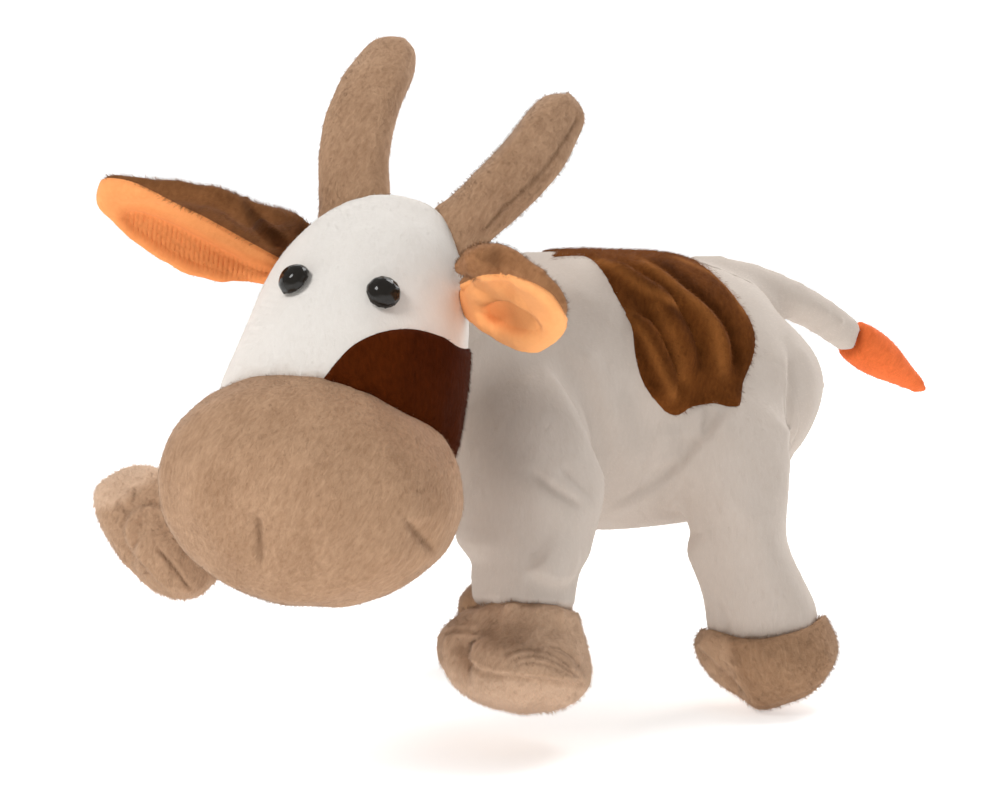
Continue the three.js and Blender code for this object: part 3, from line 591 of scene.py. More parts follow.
def dress(piece, material, slot, *nodes, fill=None):
    """Gives a piece its material and its slot, and hides the CAD nodes that it stands for."""
    piece.data.materials.clear()
    piece.data.materials.append(bpy.data.materials[material])
    smooth_look(piece)
    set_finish(piece, slot)
    if nodes:
        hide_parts(*nodes)
    return piece


RIDES = {}


def ride(piece, body):
    RIDES[piece.name] = (body,)
    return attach(piece, body)


def blend(piece, *way):
    RIDES[piece.name] = way
    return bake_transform(piece)


def follow(piece, base):
    """Lets a piece ride the same body as another; where that one is blended between bodies, it only bakes the
    piece's place.
    """
    way = RIDES[base.name]
    if len(way) == 1:
        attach(piece, way[0])
    else:
        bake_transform(piece)


def strand_of_pile():
    """One strand as a three-sided cone of unit height: its points and its faces."""
    bpy.ops.object.select_all(action="DESELECT")
    bpy.ops.mesh.primitive_cone_add(vertices=3, radius1=1, radius2=0, depth=1, end_fill_type="NGON",
                                    location=(0, 0, 0.5))
    cone = bpy.context.active_object
    bpy.ops.object.transform_apply(location=True)
    corners = points(cone)
    faces = np.array([list(face.vertices) for face in cone.data.polygons])
    remove(cone)
    return corners, faces


def pile(base, name, length, density, seed, comb):
    """Short flat strands all over the outside of a piece, as one mesh that uses the piece's material."""
    rng = np.random.default_rng(seed)
    mesh = base.data
    mesh.calc_loop_triangles()
    corners = np.empty(len(mesh.loop_triangles) * 3, np.int32)
    mesh.loop_triangles.foreach_get("vertices", corners)
    corners = corners.reshape(-1, 3)
    corners = corners[(corners < base.get("outside", len(mesh.vertices))).all(1)]
    if "covered" in mesh.attributes:
        corners = corners[(marked(base, "covered")[corners] < 0.5).any(1)]
    here, out = points(base), normals(base)
    a, b, c = (here[corners[:, k]] for k in range(3))
    area = 0.5 * np.linalg.norm(np.cross(b - a, c - a), axis=1)
    count = min(MOST_STRANDS, int(area.sum() * 1e6 * density))
    pick = rng.choice(len(corners), count, p=area / area.sum())
    u, v = rng.random(count), rng.random(count)
    flip = u + v > 1
    u[flip], v[flip] = 1 - u[flip], 1 - v[flip]
    root = a[pick] + u[:, None] * (b - a)[pick] + v[:, None] * (c - a)[pick]
    up = out[corners[pick, 0]]
    flat = np.asarray(comb, float) - (up @ np.asarray(comb, float))[:, None] * up
    way = 0.5 * up + flat + rng.normal(0, 0.16, (count, 3))
    way -= np.minimum(0, (way * up).sum(1) - 0.25)[:, None] * up
    way /= np.linalg.norm(way, axis=1, keepdims=True)
    side = np.cross(way, up + rng.normal(0, 0.25, (count, 3)))
    side /= np.linalg.norm(side, axis=1, keepdims=True)
    top = np.cross(side, way)
    half = 0.075 * length * rng.uniform(0.8, 1.3, (count, 1, 1))
    size = length * rng.uniform(0.6, 1.15, (count, 1, 1))
    strand, sides = strand_of_pile()
    blades = ((root - 0.3 * length * way)[:, None] + half * strand[:, 0, None] * side[:, None]
              + 0.45 * half * strand[:, 1, None] * top[:, None] + 1.3 * size * strand[:, 2, None] * way[:, None])
    faces = (len(strand) * np.arange(count)[:, None, None] + sides).reshape(-1, 3)
    made = bpy.data.meshes.new(name)
    made.vertices.add(len(strand) * count)
    made.vertices.foreach_set("co", blades.astype(np.float32).ravel())
    made.loops.add(faces.size)
    made.loops.foreach_set("vertex_index", faces.astype(np.int32).ravel())
    made.polygons.add(len(faces))
    made.polygons.foreach_set("loop_start", np.arange(0, faces.size, 3, dtype=np.int32))
    made.polygons.foreach_set("loop_total", np.full(len(faces), 3, np.int32))
    made.update(calc_edges=True)
    made.validate()
    strands = bpy.data.objects.new(name, made)
    bpy.context.scene.collection.objects.link(strands)
    edit(strands, bpy.ops.mesh.normals_make_consistent)
    mark(strands, "tip", np.tile((strand[:, 2] > 0.5) * 1.0, count))
    for layer in ("seam", "pale"):
        if layer in mesh.attributes:
            mark(strands, layer, np.repeat(marked(base, layer)[corners[pick, 0]], len(strand)))
    made.materials.append(base.data.materials[0])
    smooth_look(strands)
    lit = np.repeat(up + 0.25 * way, len(strand), axis=0)
    lit /= np.linalg.norm(lit, axis=1, keepdims=True)
    made.normals_split_custom_set_from_vertices([tuple(n) for n in lit])
    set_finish(strands, base["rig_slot"])
    return strands


# Materials

def add(tree, kind, **settings):
    node = tree.nodes.new(kind)
    for key, value in settings.items():
        setattr(node, key, value)
    return node


def give(node, values):
    for key, value in values.items():
        node.inputs[key].default_value = value


def new_material(name, colour):
    """A material with its node tree and its shader."""
    material = bpy.data.materials.new(name)
    material.use_nodes = True
    material.diffuse_color = (*colour, 1)
    return material, material.node_tree, material.node_tree.nodes["Principled BSDF"]


def plush_group():
    """Colour, roughness and height of short pile: fine tufts, brushed patches, darker seams with painted shade,
    paler parts with painted highlights, and lighter strand tips.
    """
    tree = bpy.data.node_groups.new("Plush pile", "ShaderNodeTree")
    for way, kind, labels in (
            ("INPUT", "Vector", ("Vector",)), ("INPUT", "Color", ("Colour", "Deep", "Pale")),
            ("INPUT", "Float", ("Contrast",)), ("OUTPUT", "Color", ("Colour",)),
            ("OUTPUT", "Float", ("Roughness", "Height"))):
        for label in labels:
            tree.interface.new_socket(label, in_out=way, socket_type="NodeSocket" + kind)
    given, put = add(tree, "NodeGroupInput"), add(tree, "NodeGroupOutput")
    link = tree.links.new

    def noise(detail, stretch):
        mapped = add(tree, "ShaderNodeMapping")
        give(mapped, {"Scale": stretch})
        link(given.outputs["Vector"], mapped.inputs["Vector"])
        made = add(tree, "ShaderNodeTexNoise")
        give(made, {"Scale": 1.0, "Detail": detail, "Roughness": 0.6})
        link(mapped.outputs["Vector"], made.inputs["Vector"])
        return made.outputs["Fac"]

    def math_node(operation, a, b):
        made = add(tree, "ShaderNodeMath", operation=operation, use_clamp=False)
        for socket, value in zip(made.inputs, (a, b)):
            if isinstance(value, (int, float)):
                socket.default_value = value
            else:
                link(value, socket)
        return made.outputs[0]

    tuft = noise(3.0, (900, 900, 330))
    nap = noise(2.0, (95, 95, 60))
    both = math_node("ADD", math_node("MULTIPLY", tuft, 0.6), math_node("MULTIPLY", nap, 0.4))
    spread_out = math_node("MULTIPLY", math_node("SUBTRACT", both, 0.5), given.outputs["Contrast"])
    level = math_node("ADD", spread_out, 0.62)
    limit = add(tree, "ShaderNodeClamp")
    link(level, limit.inputs["Value"])
    mixed = add(tree, "ShaderNodeMix", data_type="RGBA")
    link(limit.outputs[0], mixed.inputs["Factor"])
    link(given.outputs["Deep"], mixed.inputs[6])
    link(given.outputs["Colour"], mixed.inputs[7])
    # Paler where marked: painted highlights, and the hooves' paler parts
    pale = add(tree, "ShaderNodeAttribute", attribute_name="pale")
    paler = add(tree, "ShaderNodeMix", data_type="RGBA")
    link(math_node("MULTIPLY", math_node("ADD", both, 0.45), pale.outputs["Fac"]), paler.inputs["Factor"])
    link(mixed.outputs[2], paler.inputs[6])
    link(given.outputs["Pale"], paler.inputs[7])
    # Darker where marked: the seams' own dark, and painted shade in creases, folds, dents and hollows
    seam = add(tree, "ShaderNodeAttribute", attribute_name="seam")
    tip = add(tree, "ShaderNodeAttribute", attribute_name="tip")
    dark = add(tree, "ShaderNodeMix", data_type="RGBA", blend_type="MULTIPLY")
    dark.inputs[7].default_value = (0.34, 0.29, 0.25, 1)
    link(math_node("MULTIPLY", seam.outputs["Fac"], 0.8), dark.inputs["Factor"])
    link(paler.outputs[2], dark.inputs[6])
    light = add(tree, "ShaderNodeMix", data_type="RGBA", blend_type="MULTIPLY")
    light.inputs[7].default_value = (1.28, 1.26, 1.24, 1)
    link(tip.outputs["Fac"], light.inputs["Factor"])
    link(dark.outputs[2], light.inputs[6])
    link(light.outputs[2], put.inputs["Colour"])
    link(math_node("ADD", math_node("MULTIPLY", nap, 0.2), 0.78), put.inputs["Roughness"])
    link(both, put.inputs["Height"])
    return tree


# How much paler than its own colour a plush is where it is marked pale: under painted highlights and on the hooves'
# paler parts
PALER = (1.45, 1.62, 1.85)
# Each plush: its colour, how deep and how warm it is between the tufts, its contrast, its sheen, the way it is
# brushed and its relief
PLUSH = (
    ("White plush", "white", 0.86, 0.97, 0.7, 0.2, (0.0, 0.0, 0.0), 0.25),
    ("Cream plush", "cream", 0.82, 0.95, 0.8, 0.2, (0.0, 0.0, 0.0), 0.3),
    ("Brown plush", "brown", 0.35, 0.85, 1.9, 0.0, (0.5, 0.2, 0.3), 0.7),
    ("Dark brown plush", "dark", 0.45, 0.85, 1.9, 0.03, (0.3, 0.5, 0.1), 0.7),
    ("Beige plush", "beige", 0.6, 0.9, 2.2, 0.24, (0.4, -0.3, 0.2), 0.9),
    ("Fawn plush", "fawn", 0.58, 0.88, 2.2, 0.2, (0.2, 0.4, 0.1), 0.9),
    ("Orange plush", "orange", 0.8, 0.85, 1.0, 0.12, (0.8, 0.2, 0.9), 0.4),
    ("Apricot plush", "apricot", 0.85, 0.9, 0.9, 0.12, (0.8, 0.2, 0.9), 0.4),
    ("Rust plush", "rust", 0.6, 0.85, 1.4, 0.08, (0.8, 0.2, 0.9), 0.5),
    ("Tan plush", "tan", 0.55, 0.9, 1.6, 0.1, (0.9, 0.1, 0.9), 0.6),
    ("Chestnut plush", "chestnut", 0.5, 0.9, 1.7, 0.1, (0.9, 0.1, 0.9), 0.6),
)


def plush(name, colour, share, warm, contrast, sheen, turn, bump):
    """A plush material whose pile streaks run the way it is brushed."""
    _, tree, shader = new_material(name, colour)
    link = tree.links.new
    deep = (colour[0] * share, colour[1] * share * warm, colour[2] * share * warm * warm)
    pale = tuple(min(1, more * value) for more, value in zip(PALER, colour))
    tint = tuple(0.5 + 0.5 * value for value in colour)
    group = add(tree, "ShaderNodeGroup", node_tree=bpy.data.node_groups["Plush pile"])
    give(group, {"Colour": (*colour, 1), "Deep": (*deep, 1), "Pale": (*pale, 1), "Contrast": contrast})
    where, turned, relief = (add(tree, "ShaderNode" + kind) for kind in ("TexCoord", "Mapping", "Bump"))
    give(turned, {"Rotation": turn})
    give(relief, {"Strength": bump, "Distance": 0.0006})
    link(where.outputs["Object"], turned.inputs["Vector"])
    link(turned.outputs["Vector"], group.inputs["Vector"])
    link(group.outputs["Height"], relief.inputs["Height"])
    link(relief.outputs["Normal"], shader.inputs["Normal"])
    link(group.outputs["Colour"], shader.inputs["Base Color"])
    link(group.outputs["Roughness"], shader.inputs["Roughness"])
    give(shader, {
        "Specular IOR Level": 0.03, "Sheen Weight": sheen, "Sheen Roughness": 0.45, "Sheen Tint": (*tint, 1)})


def woven(name, colour):
    """Plain woven cloth."""
    _, tree, shader = new_material(name, colour)
    link = tree.links.new
    where = add(tree, "ShaderNodeTexCoord")
    total = None
    for way in ("X", "Y", "Z"):
        wave = add(tree, "ShaderNodeTexWave", bands_direction=way)
        give(wave, {"Scale": 1500 / 6.28, "Distortion": 1.2, "Detail": 1.0})
        link(where.outputs["Object"], wave.inputs["Vector"])
        if total is None:
            total = wave.outputs["Fac"]
        else:
            both = add(tree, "ShaderNodeMath", operation="ADD")
            link(total, both.inputs[0])
            link(wave.outputs["Fac"], both.inputs[1])
            total = both.outputs[0]
    third = add(tree, "ShaderNodeMath", operation="DIVIDE")
    link(total, third.inputs[0])
    mixed = add(tree, "ShaderNodeMix", data_type="RGBA")
    relief = add(tree, "ShaderNodeBump")
    give(third, {1: 3})
    give(mixed, {6: tuple(0.6 * value for value in colour) + (1,), 7: (*colour, 1)})
    give(relief, {"Strength": 0.4, "Distance": 0.0003})
    give(shader, {"Roughness": 0.85})
    link(third.outputs[0], mixed.inputs["Factor"])
    link(mixed.outputs[2], shader.inputs["Base Color"])
    link(third.outputs[0], relief.inputs["Height"])
    link(relief.outputs["Normal"], shader.inputs["Normal"])


def plastic(name, colour, roughness, shine):
    """Moulded plastic with a faint unevenness in its polish."""
    _, tree, shader = new_material(name, colour)
    link = tree.links.new
    where, smear, span = (add(tree, "ShaderNode" + kind) for kind in ("TexCoord", "TexNoise", "MapRange"))
    mixed = add(tree, "ShaderNodeMix", data_type="RGBA")
    give(smear, {"Scale": 260, "Detail": 2})
    give(span, {"To Min": roughness, "To Max": roughness + 0.08})
    give(mixed, {6: (*colour, 1), 7: tuple(min(1, 1.5 * value) for value in colour) + (1,)})
    give(shader, {"Specular IOR Level": shine})
    link(where.outputs["Object"], smear.inputs["Vector"])
    link(smear.outputs["Fac"], span.inputs["Value"])
    link(span.outputs["Result"], shader.inputs["Roughness"])
    link(smear.outputs["Fac"], mixed.inputs["Factor"])
    link(mixed.outputs[2], shader.inputs["Base Color"])


class PUPPET_OT_materials(bpy.types.Operator):
    """Makes the plush, cloth and plastic materials"""

    bl_idname = "puppet.materials"
    bl_label = "Materials"

    def execute(self, context):
        hue = context.scene.puppet_colours
        plush_group()
        for name, key, *look in PLUSH:
            plush(name, tuple(getattr(hue, key)), *look)
        woven("Lining cloth", tuple(hue.lining))
        plastic("Eye plastic", tuple(hue.eye), 0.06, 0.3)
        plastic("Washer plastic", tuple(hue.washer), 0.35, 0.5)
        return {"FINISHED"}


# Where the photograph shows the sewing and the folds, as lines of its pixels
SADDLE_LINE = (
    (546, 260), (554, 253), (564, 247), (575, 236), (600, 222), (640, 226), (656, 247), (675, 252), (692, 258),
    (706, 267), (716, 275), (726, 285), (736, 297), (746, 311), (753, 324), (756, 338), (755, 352), (750, 366),
    (743, 380), (735, 395), (728, 404), (720, 406), (712, 403), (700, 405), (690, 408), (682, 414), (674, 417),
    (666, 413), (655, 402), (645, 388), (638, 372), (634, 352), (632, 335), (628, 320), (620, 305), (612, 290),
    (604, 275), (597, 266), (590, 260), (583, 257), (570, 257), (558, 258))
SADDLE_VALLEYS = (
    ((642, 260), (656, 271), (669, 283), (682, 294), (695, 305), (708, 318), (718, 332), (725, 348), (729, 366),
     (733, 388)),
    ((604, 262), (622, 272), (638, 283), (652, 291), (664, 300), (676, 312), (687, 328), (695, 346), (700, 374)),
    ((632, 310), (645, 325), (656, 343), (665, 363), (673, 383), (680, 402)))
SADDLE_RIDGES = (
    ((594, 260), (608, 266), (622, 275), (636, 286), (648, 294), (660, 300), (670, 308), (680, 319)),
    ((632, 262), (644, 270), (656, 281), (668, 292), (680, 302), (692, 311), (704, 322), (713, 335), (719, 352),
     (722, 370), (726, 388)),
    ((652, 297), (660, 312), (668, 328), (676, 346), (681, 366), (686, 390)),
    ((624, 310), (634, 320), (646, 336), (655, 353), (663, 371), (672, 390), (676, 402)))
# Where painted highlights lie on the saddle's ridges and where painted shade lies in its folds, with the strength
# and the width in millimetres
SADDLE_HIGHLIGHTS = (
    (1.0, 2.2, ((588, 257), (606, 263), (622, 271), (638, 283), (650, 291), (662, 295), (674, 303), (686, 313))),
    (1.0, 2.4, ((632, 254), (650, 264), (668, 278), (686, 293), (702, 307), (713, 321), (719, 340), (722, 362),
                (727, 388))),
    (0.6, 2.2, ((650, 294), (660, 312), (668, 328), (676, 346), (681, 366), (687, 394))),
    (1.0, 2.0, ((620, 304), (632, 317), (645, 335), (654, 352), (663, 371), (672, 390), (678, 406))),
    (0.9, 2.6, ((672, 255), (694, 265), (712, 274), (728, 289), (740, 305), (748, 322))))
SADDLE_SHADE = (
    (1.0, 4.6, ((652, 256), (670, 269), (684, 280), (695, 290), (708, 303), (720, 318), (730, 335), (735, 354),
                (738, 386))),
    (0.5, 2.2, ((612, 264), (632, 274), (650, 284), (664, 290), (676, 298))),
    (0.9, 3.2, ((662, 302), (680, 317), (691, 334), (697, 352), (701, 380))),
    (0.85, 2.0, ((628, 308), (646, 328), (658, 347), (667, 366), (677, 392))),
    (0.5, 3.4, ((600, 272), (618, 286), (634, 300), (646, 318), (656, 338))),
    (0.8, 3.4, ((630, 326), (638, 352), (646, 374), (662, 400))),
    (0.6, 3.0, ((754, 326), (752, 350), (745, 374), (735, 400))),
    (0.5, 2.0, ((686, 403), (710, 399), (734, 398))))
# Creases of the body, whose furrows get painted shade
BODY_CREASES = (
    ((524, 464), (538, 478), (554, 490), (570, 500), (586, 508)),
    ((556, 462), (568, 476), (582, 490), (593, 501)))
SOFT_FOLDS = (
    ((562, 284), (585, 296), (606, 308), (626, 322)),
    ((572, 335), (592, 368), (606, 402), (614, 440)),
    ((668, 422), (666, 445), (661, 470)))
SOFT_VALLEYS = (
    ((624, 372), (636, 398), (644, 424), (648, 452)),
    ((556, 330), (568, 356), (584, 392), (598, 430), (606, 470)))
# Edges where cloth lies over cloth: the shoulder, the thigh, its tuck and the rump, each with its height, reach
# and softness in millimetres and the darkness of the painted shade under it
EDGES = (
    (((600, 512), (599, 486), (594, 464), (587, 444), (577, 420), (564, 395), (550, 371), (538, 352)),
     2.6, 16, 3.0, 0.0),
    (((738, 402), (722, 419), (705, 437), (690, 455), (675, 470), (655, 485), (635, 497), (600, 516)),
     1.3, 12, 1.8, 0.12),
    (((702, 442), (703, 424), (704, 404)), 1.0, 8, 1.5, 0.1),
    (((791, 460), (789, 447), (784, 428), (782, 408), (784, 380), (787, 345)), 2.0, 12, 1.8, 0.1))
RUMP_OUTLINE = (
    (768, 308), (785, 320), (800, 335), (812, 348), (820, 360), (824, 375), (825, 385), (822, 400), (815, 420),
    (806, 438), (798, 450), (791, 461))
SHANK_CREASE = ((712, 588), (721, 598), (726, 610), (723, 622))
LEG_ROLL = ((526, 568), (541, 576), (558, 583), (575, 582), (588, 566))
FRONT_LEG_SIDES = (
    ((530, 530), (525, 620)),
    ((474, 540), (472, 560), (470, 580), (468, 600), (467, 612)),
    ((592, 542), (586, 559), (579, 573), (576, 587), (579, 600), (582, 612)), ((12, 40), (12, 40)))
HIND_LEG_SIDES = (
    ((738, 440), (765, 640)),
    ((676, 533), (684, 548), (692, 565), (700, 580), (704, 597), (702, 612), (701, 625), (700, 640)),
    ((792, 445), (791, 460), (789, 480), (788, 500), (786, 520), (786, 540), (793, 555), (804, 572), (814, 588),
     (820, 603), (822, 615), (823, 640)), ((82, 112), (0, 30)))
CHEEK_LINE = (
    (318, 384), (324, 376), (335, 362), (353, 344), (381, 331), (413, 328), (443, 336), (461, 347),
    (485, 350), (500, 380), (500, 470), (440, 480), (380, 440))
MUZZLE_DARTS = (
    ((256, 507), (257, 541), (259, 573)),
    ((398, 513), (427, 543), (436, 555)))
HORN_SEAM = (
    (580, 114), (573, 129), (564, 143), (551, 162), (536, 179), (516, 198), (504, 209), (489, 226), (479, 233))


def wrinkle(piece, *bases):
    """Lays the folds of the shoulder, the flank and the thigh into a skin, with painted shade under its overlapping
    edges and in its creases.
    """
    for line in SOFT_FOLDS:
        fold(piece, traced(line, *bases), 1.2 * MM, 6 * MM)
    for line in SOFT_VALLEYS:
        sew(piece, traced(line, *bases), 1.1 * MM, 5 * MM, 0.3, 0.0)
    for line, height, reach, edge, dark in EDGES:
        overlap(piece, traced(line, *bases), height * MM, reach * MM, edge * MM, dark)
    for line in BODY_CREASES:
        sew(piece, traced(line, *bases), 1.2 * MM, 2.0 * MM, 0.3, 0.3)


class PUPPET_OT_body(bpy.types.Operator):
    """Makes the body's plush sleeve, open at the rump, with its folds"""

    bl_idname = "puppet.body"
    bl_label = "Body"

    def execute(self, context):
        sizes = context.scene.puppet_sizes
        body = copy_of("body_skin", "body_sleeve")
        hull(body)
        remesh(body, "body")
        plump(body, sizes.swell, lambda p: (p - NECK) @ np.array([0, 1, 0]) < 12 * MM)
        refine(body, 2)
        fit(body, np.array([720, 390]), RUMP_OUTLINE, 0.35, 0.72)
        ruffle(body, 0.35 * MM, 45 * MM, 3)
        base = twin("body_base", body)
        dent(body, traced(((520, 262), (526, 262)), base)[0], 4.0 * MM, 20 * MM)
        wrinkle(body, base)
        for line in SADDLE_VALLEYS:
            overlap(body, traced(line[::-1], base), 2.6 * MM, 8 * MM, 2.6 * MM)
            sew(body, traced(line, base), 2.4 * MM, 3.4 * MM, 0.2, 0.0)
        for line in SADDLE_RIDGES:
            fold(body, traced(line, base), 2.4 * MM, 3.8 * MM)
        remove(base)
        edit(body, lambda: bpy.ops.mesh.bisect(
            plane_co=tuple(-11.5 * MM * MOUTH_OUT), plane_no=tuple(MOUTH_OUT), clear_outer=True))
        line_inside(body, 3 * MM)
        dress(body, "Cream plush", "cream_plush", "body_sleeve", fill=0.35)
        ride(body, "torso")
        return {"FINISHED"}


LIMBS = (
    ("front_leg_left", "left_front_limb", (33.87, -138.4, 13.98), (0.1045, -0.1898, -0.9763)),
    ("front_leg_right", "right_front_limb", (-31.29, -147.02, 19.18), (-0.515, -0.637, -0.5736)),
    ("hind_leg_left", "left_hind_limb", (44.33, -59.53, 6.53), (0.1045, 0.1212, -0.9871)),
    ("hind_leg_right", "right_hind_limb", (-44.33, -59.53, 6.53), (-0.1045, -0.0867, -0.9907)),
)


def grown_limb(name, node, hulled, reach, detail=None):
    """A limb that grows out of the body: both are fused, and the skin near the limb is kept.
    Further from the limb it follows the body's own skin, and its edge lies just under it."""
    limb = copy_of(name, node)
    if hulled:
        hull(limb)
    core = tree_of(limb)
    trunk = copy_of("trunk", "body_sleeve")
    hull(trunk)
    if not hulled:
        sink(limb, tree_of(trunk), 3 * MM, 6 * MM)
    activate(limb, trunk)
    bpy.ops.object.join()
    remesh(limb, "limb")
    gap, _, _ = gap_to(core, points(limb), 60 * MM)
    strip(limb, gap > reach)
    refine(limb, 2)
    if detail:
        detail(limb)
    here = points(limb)
    gap, _, _ = gap_to(core, here, 60 * MM)
    over, near, out = gap_to(tree_of(bpy.data.objects["body_skin"]), here, 9 * MM)
    follow = ramp(gap, 0.2 * reach, 0.6 * reach) * (over < 8 * MM)
    lift = 0.5 * MM - 1.1 * MM * ramp(gap, 0.5 * reach, reach)
    place(limb, here + follow[:, None] * (near + out * lift[:, None] - here))
    return limb


class PUPPET_OT_legs(bpy.types.Operator):
    """Makes the four legs, which grow out of the body's skin"""

    bl_idname = "puppet.legs"
    bl_label = "Legs"

    def execute(self, context):
        sizes = context.scene.puppet_sizes
        skin = bpy.data.objects["body_skin"]
        for number, (node, body, pivot, way) in enumerate(LIMBS):
            def detail(leg):
                ruffle(leg, 0.3 * MM, 30 * MM, 11 + number)
                base = twin("leg_base", leg)
                if node in ("front_leg_left", "hind_leg_left"):
                    wrinkle(leg, base, skin)
                # The leg's roll gets painted shade under it, and the shank's crease painted shade in it
                if node == "front_leg_left":
                    overlap(leg, traced(LEG_ROLL, base), 2.0 * MM, 10 * MM, 2.0 * MM, 0.05)
                if node == "hind_leg_left":
                    sew(leg, traced(SHANK_CREASE, base), 0.8 * MM, 2.2 * MM, 0.3, 0.1)
                remove(base)

            leg = grown_limb(node + "_skin", node, True, 20 * MM, detail)
            if node == "front_leg_left":
                draw_out(leg, *FRONT_LEG_SIDES)
            if node == "hind_leg_left":
                draw_out(leg, *HIND_LEG_SIDES)
            here, down = points(leg), np.array(way)
            if "front" in node:
                spot = cuff_place(node.replace("leg", "hoof"))
                deep = (here - spot) @ down
                inward = spot + deep[:, None] * down - here
                inward /= np.maximum(np.linalg.norm(inward, axis=1, keepdims=True), 1e-6)
                place(leg, here + inward * (3.6 * MM * ramp(deep, -1.5 * MM, 4 * MM))[:, None])
            else:
                deep = here @ down
                end = deep.max()
                place(leg, here + (6 * MM * ramp(deep, end - 30 * MM, end - 3 * MM))[:, None] * down)
            line_inside(leg, sizes.cloth)
            dress(leg, "Cream plush", "cream_plush", node, fill=0.6 if "hind" in node else 0.4)
            pivot, way = np.array(pivot) * MM, np.array(way)
            blend(leg, "torso", body, tuple(pivot - 6 * MM * way), tuple(pivot + 34 * MM * way))
        return {"FINISHED"}


HOOVES = (
    ("front", "left", (41.61, -152.44, -58.26), ((1, 0, 0), (0, 0.9063, -0.4226), (0, 0.4226, 0.9063))),
    ("front", "right", (-74.04, -199.89, -28.42),
     ((0.7424, 0.3462, -0.5736), (-0.3259, 0.9346, 0.1422), (0.5853, 0.0813, 0.8067))),
    ("hind", "left", (51.86, -50.81, -64.54), ((1, 0, 0), (0, 0.9063, 0.4226), (0, -0.4226, 0.9063))),
    ("hind", "right", (-51.86, -65.77, -64.80), ((1, 0, 0), (0, 0.9063, 0.4226), (0, -0.4226, 0.9063))),
)
# Seams of a hoof with their depth and width in millimetres and their darkness, their own dark with painted shade in
# the furrow, its lobes with their height, reach and softness and the darkness of the painted shade under them, and
# its dents with the darkness of the painted shade in them
HOOF_SEAMS = {
    "front_hoof_left": (
        (((500, 657), (515, 650), (530, 648), (548, 652), (562, 660), (575, 670)), 0.5, 0.9, 0.6),
        (((505, 664), (522, 657), (540, 656), (556, 662), (570, 671), (583, 680)), 0.5, 0.9, 0.65),
        (((512, 668), (528, 663), (545, 665), (560, 671), (575, 678)), 0.4, 0.8, 0.5),
        (((545, 645), (560, 648), (572, 656), (582, 668)), 0.5, 0.9, 0.55),
        (((500, 640), (520, 646), (548, 651), (570, 660), (586, 676)), 0.1, 4.0, 0.4)),
    "front_hoof_right": (
        (((156, 547), (164, 556), (173, 567), (182, 579), (191, 591)), 0.9, 0.8, 0.9),
        (((116, 501), (122, 507), (130, 513)), 0.9, 1.2, 0.6),
        (((136, 486), (134, 494), (132, 503)), 0.7, 1.0, 0.55),
        (((130, 513), (140, 506), (152, 503), (166, 505)), 0.8, 1.2, 0.35)),
    "hind_hoof_left": (
        (((735, 646), (736, 652), (736, 659), (735, 665)), 0.5, 3.4, 0.15),),
    "hind_hoof_right": (),
}
HOOF_LOBES = {
    "front_hoof_left": (
        (((498, 627), (485, 635), (475, 646), (473, 658), (480, 667), (491, 671), (515, 674), (538, 676),
          (566, 680), (593, 682)), 2.2, 7.0, 1.3, 0.12),
        (((479, 635), (466, 632), (453, 633), (442, 640)), 1.0, 5.0, 1.2, 0.0)),
    "front_hoof_right": (
        (((160, 506), (147, 504), (136, 508), (129, 517), (126, 529), (128, 541), (136, 554), (148, 568),
          (160, 582), (172, 594)), 1.9, 7.0, 1.5, 0.2),),
    "hind_hoof_left": (
        (((696, 643), (702, 649), (711, 656), (721, 666), (731, 675), (739, 682), (744, 691), (747, 700),
          (751, 709)), 1.6, 7.0, 1.8, 0.25),),
}
HOOF_DENTS = {
    "front_hoof_left": (((493, 617), 1.6, 4.0, 0.1), ((461, 646), 2.0, 3.6, 0.25)),
    "front_hoof_right": (((122, 508), 0.9, 3.4, 0.12), ((141, 524), 0.6, 1.2, 0.7)),
}
# Each hoof's middle and its outline on the photograph
HOOF_OUTLINES = {
    "front_hoof_left": ((516, 660), (
        (437, 645), (440, 630), (450, 618), (466, 611), (480, 606), (525, 602), (560, 605), (575, 612),
        (585, 630), (590, 660), (592, 680), (588, 690), (575, 702), (555, 710), (532, 713), (500, 708),
        (475, 700), (455, 688), (443, 670), (437, 655), (437, 646))),
    "front_hoof_right": ((152, 530), (
        (152, 459), (142, 459), (125, 462), (108, 468), (97, 478), (93, 489), (94, 502), (98, 518), (106, 536),
        (118, 553), (135, 573), (150, 588), (165, 597), (185, 600), (200, 597), (211, 588), (213, 577))),
    "hind_hoof_left": ((768, 662), (
        (821, 613), (828, 620), (832, 630), (837, 640), (840, 650), (838, 661), (831, 672), (821, 685), (810, 695),
        (795, 700), (780, 705), (765, 709), (757, 710), (745, 702), (732, 694), (718, 683), (708, 673), (702, 665),
        (697, 656), (694, 646), (695, 635), (699, 627))),
    "hind_hoof_right": ((517, 628), (
        (463, 588), (459, 600), (459, 612), (461, 626), (467, 642), (478, 656), (496, 665), (517, 668), (540, 664),
        (556, 654), (566, 640), (571, 622), (571, 604), (567, 588))),
}
# The top edge of a hoof, above which nothing of it shows, and the paler panel of its sole
HOOF_TOPS = {
    "hind_hoof_left": (
        (690, 627), (699, 628), (710, 633), (720, 637), (735, 641), (750, 641), (765, 640), (780, 637), (795, 632),
        (808, 627), (818, 621), (825, 615), (845, 606)),
}
HOOF_PALE = {
    "front_hoof_left": (
        (430, 656), (445, 663), (470, 669), (491, 674), (515, 677), (538, 679), (566, 683), (600, 685), (600, 725),
        (430, 725)),
    "front_hoof_right": ((85, 452), (175, 452), (160, 482), (138, 492), (112, 512), (88, 512)),
    "hind_hoof_left": ((685, 620), (730, 632), (742, 668), (758, 712), (700, 690), (685, 650)),
}
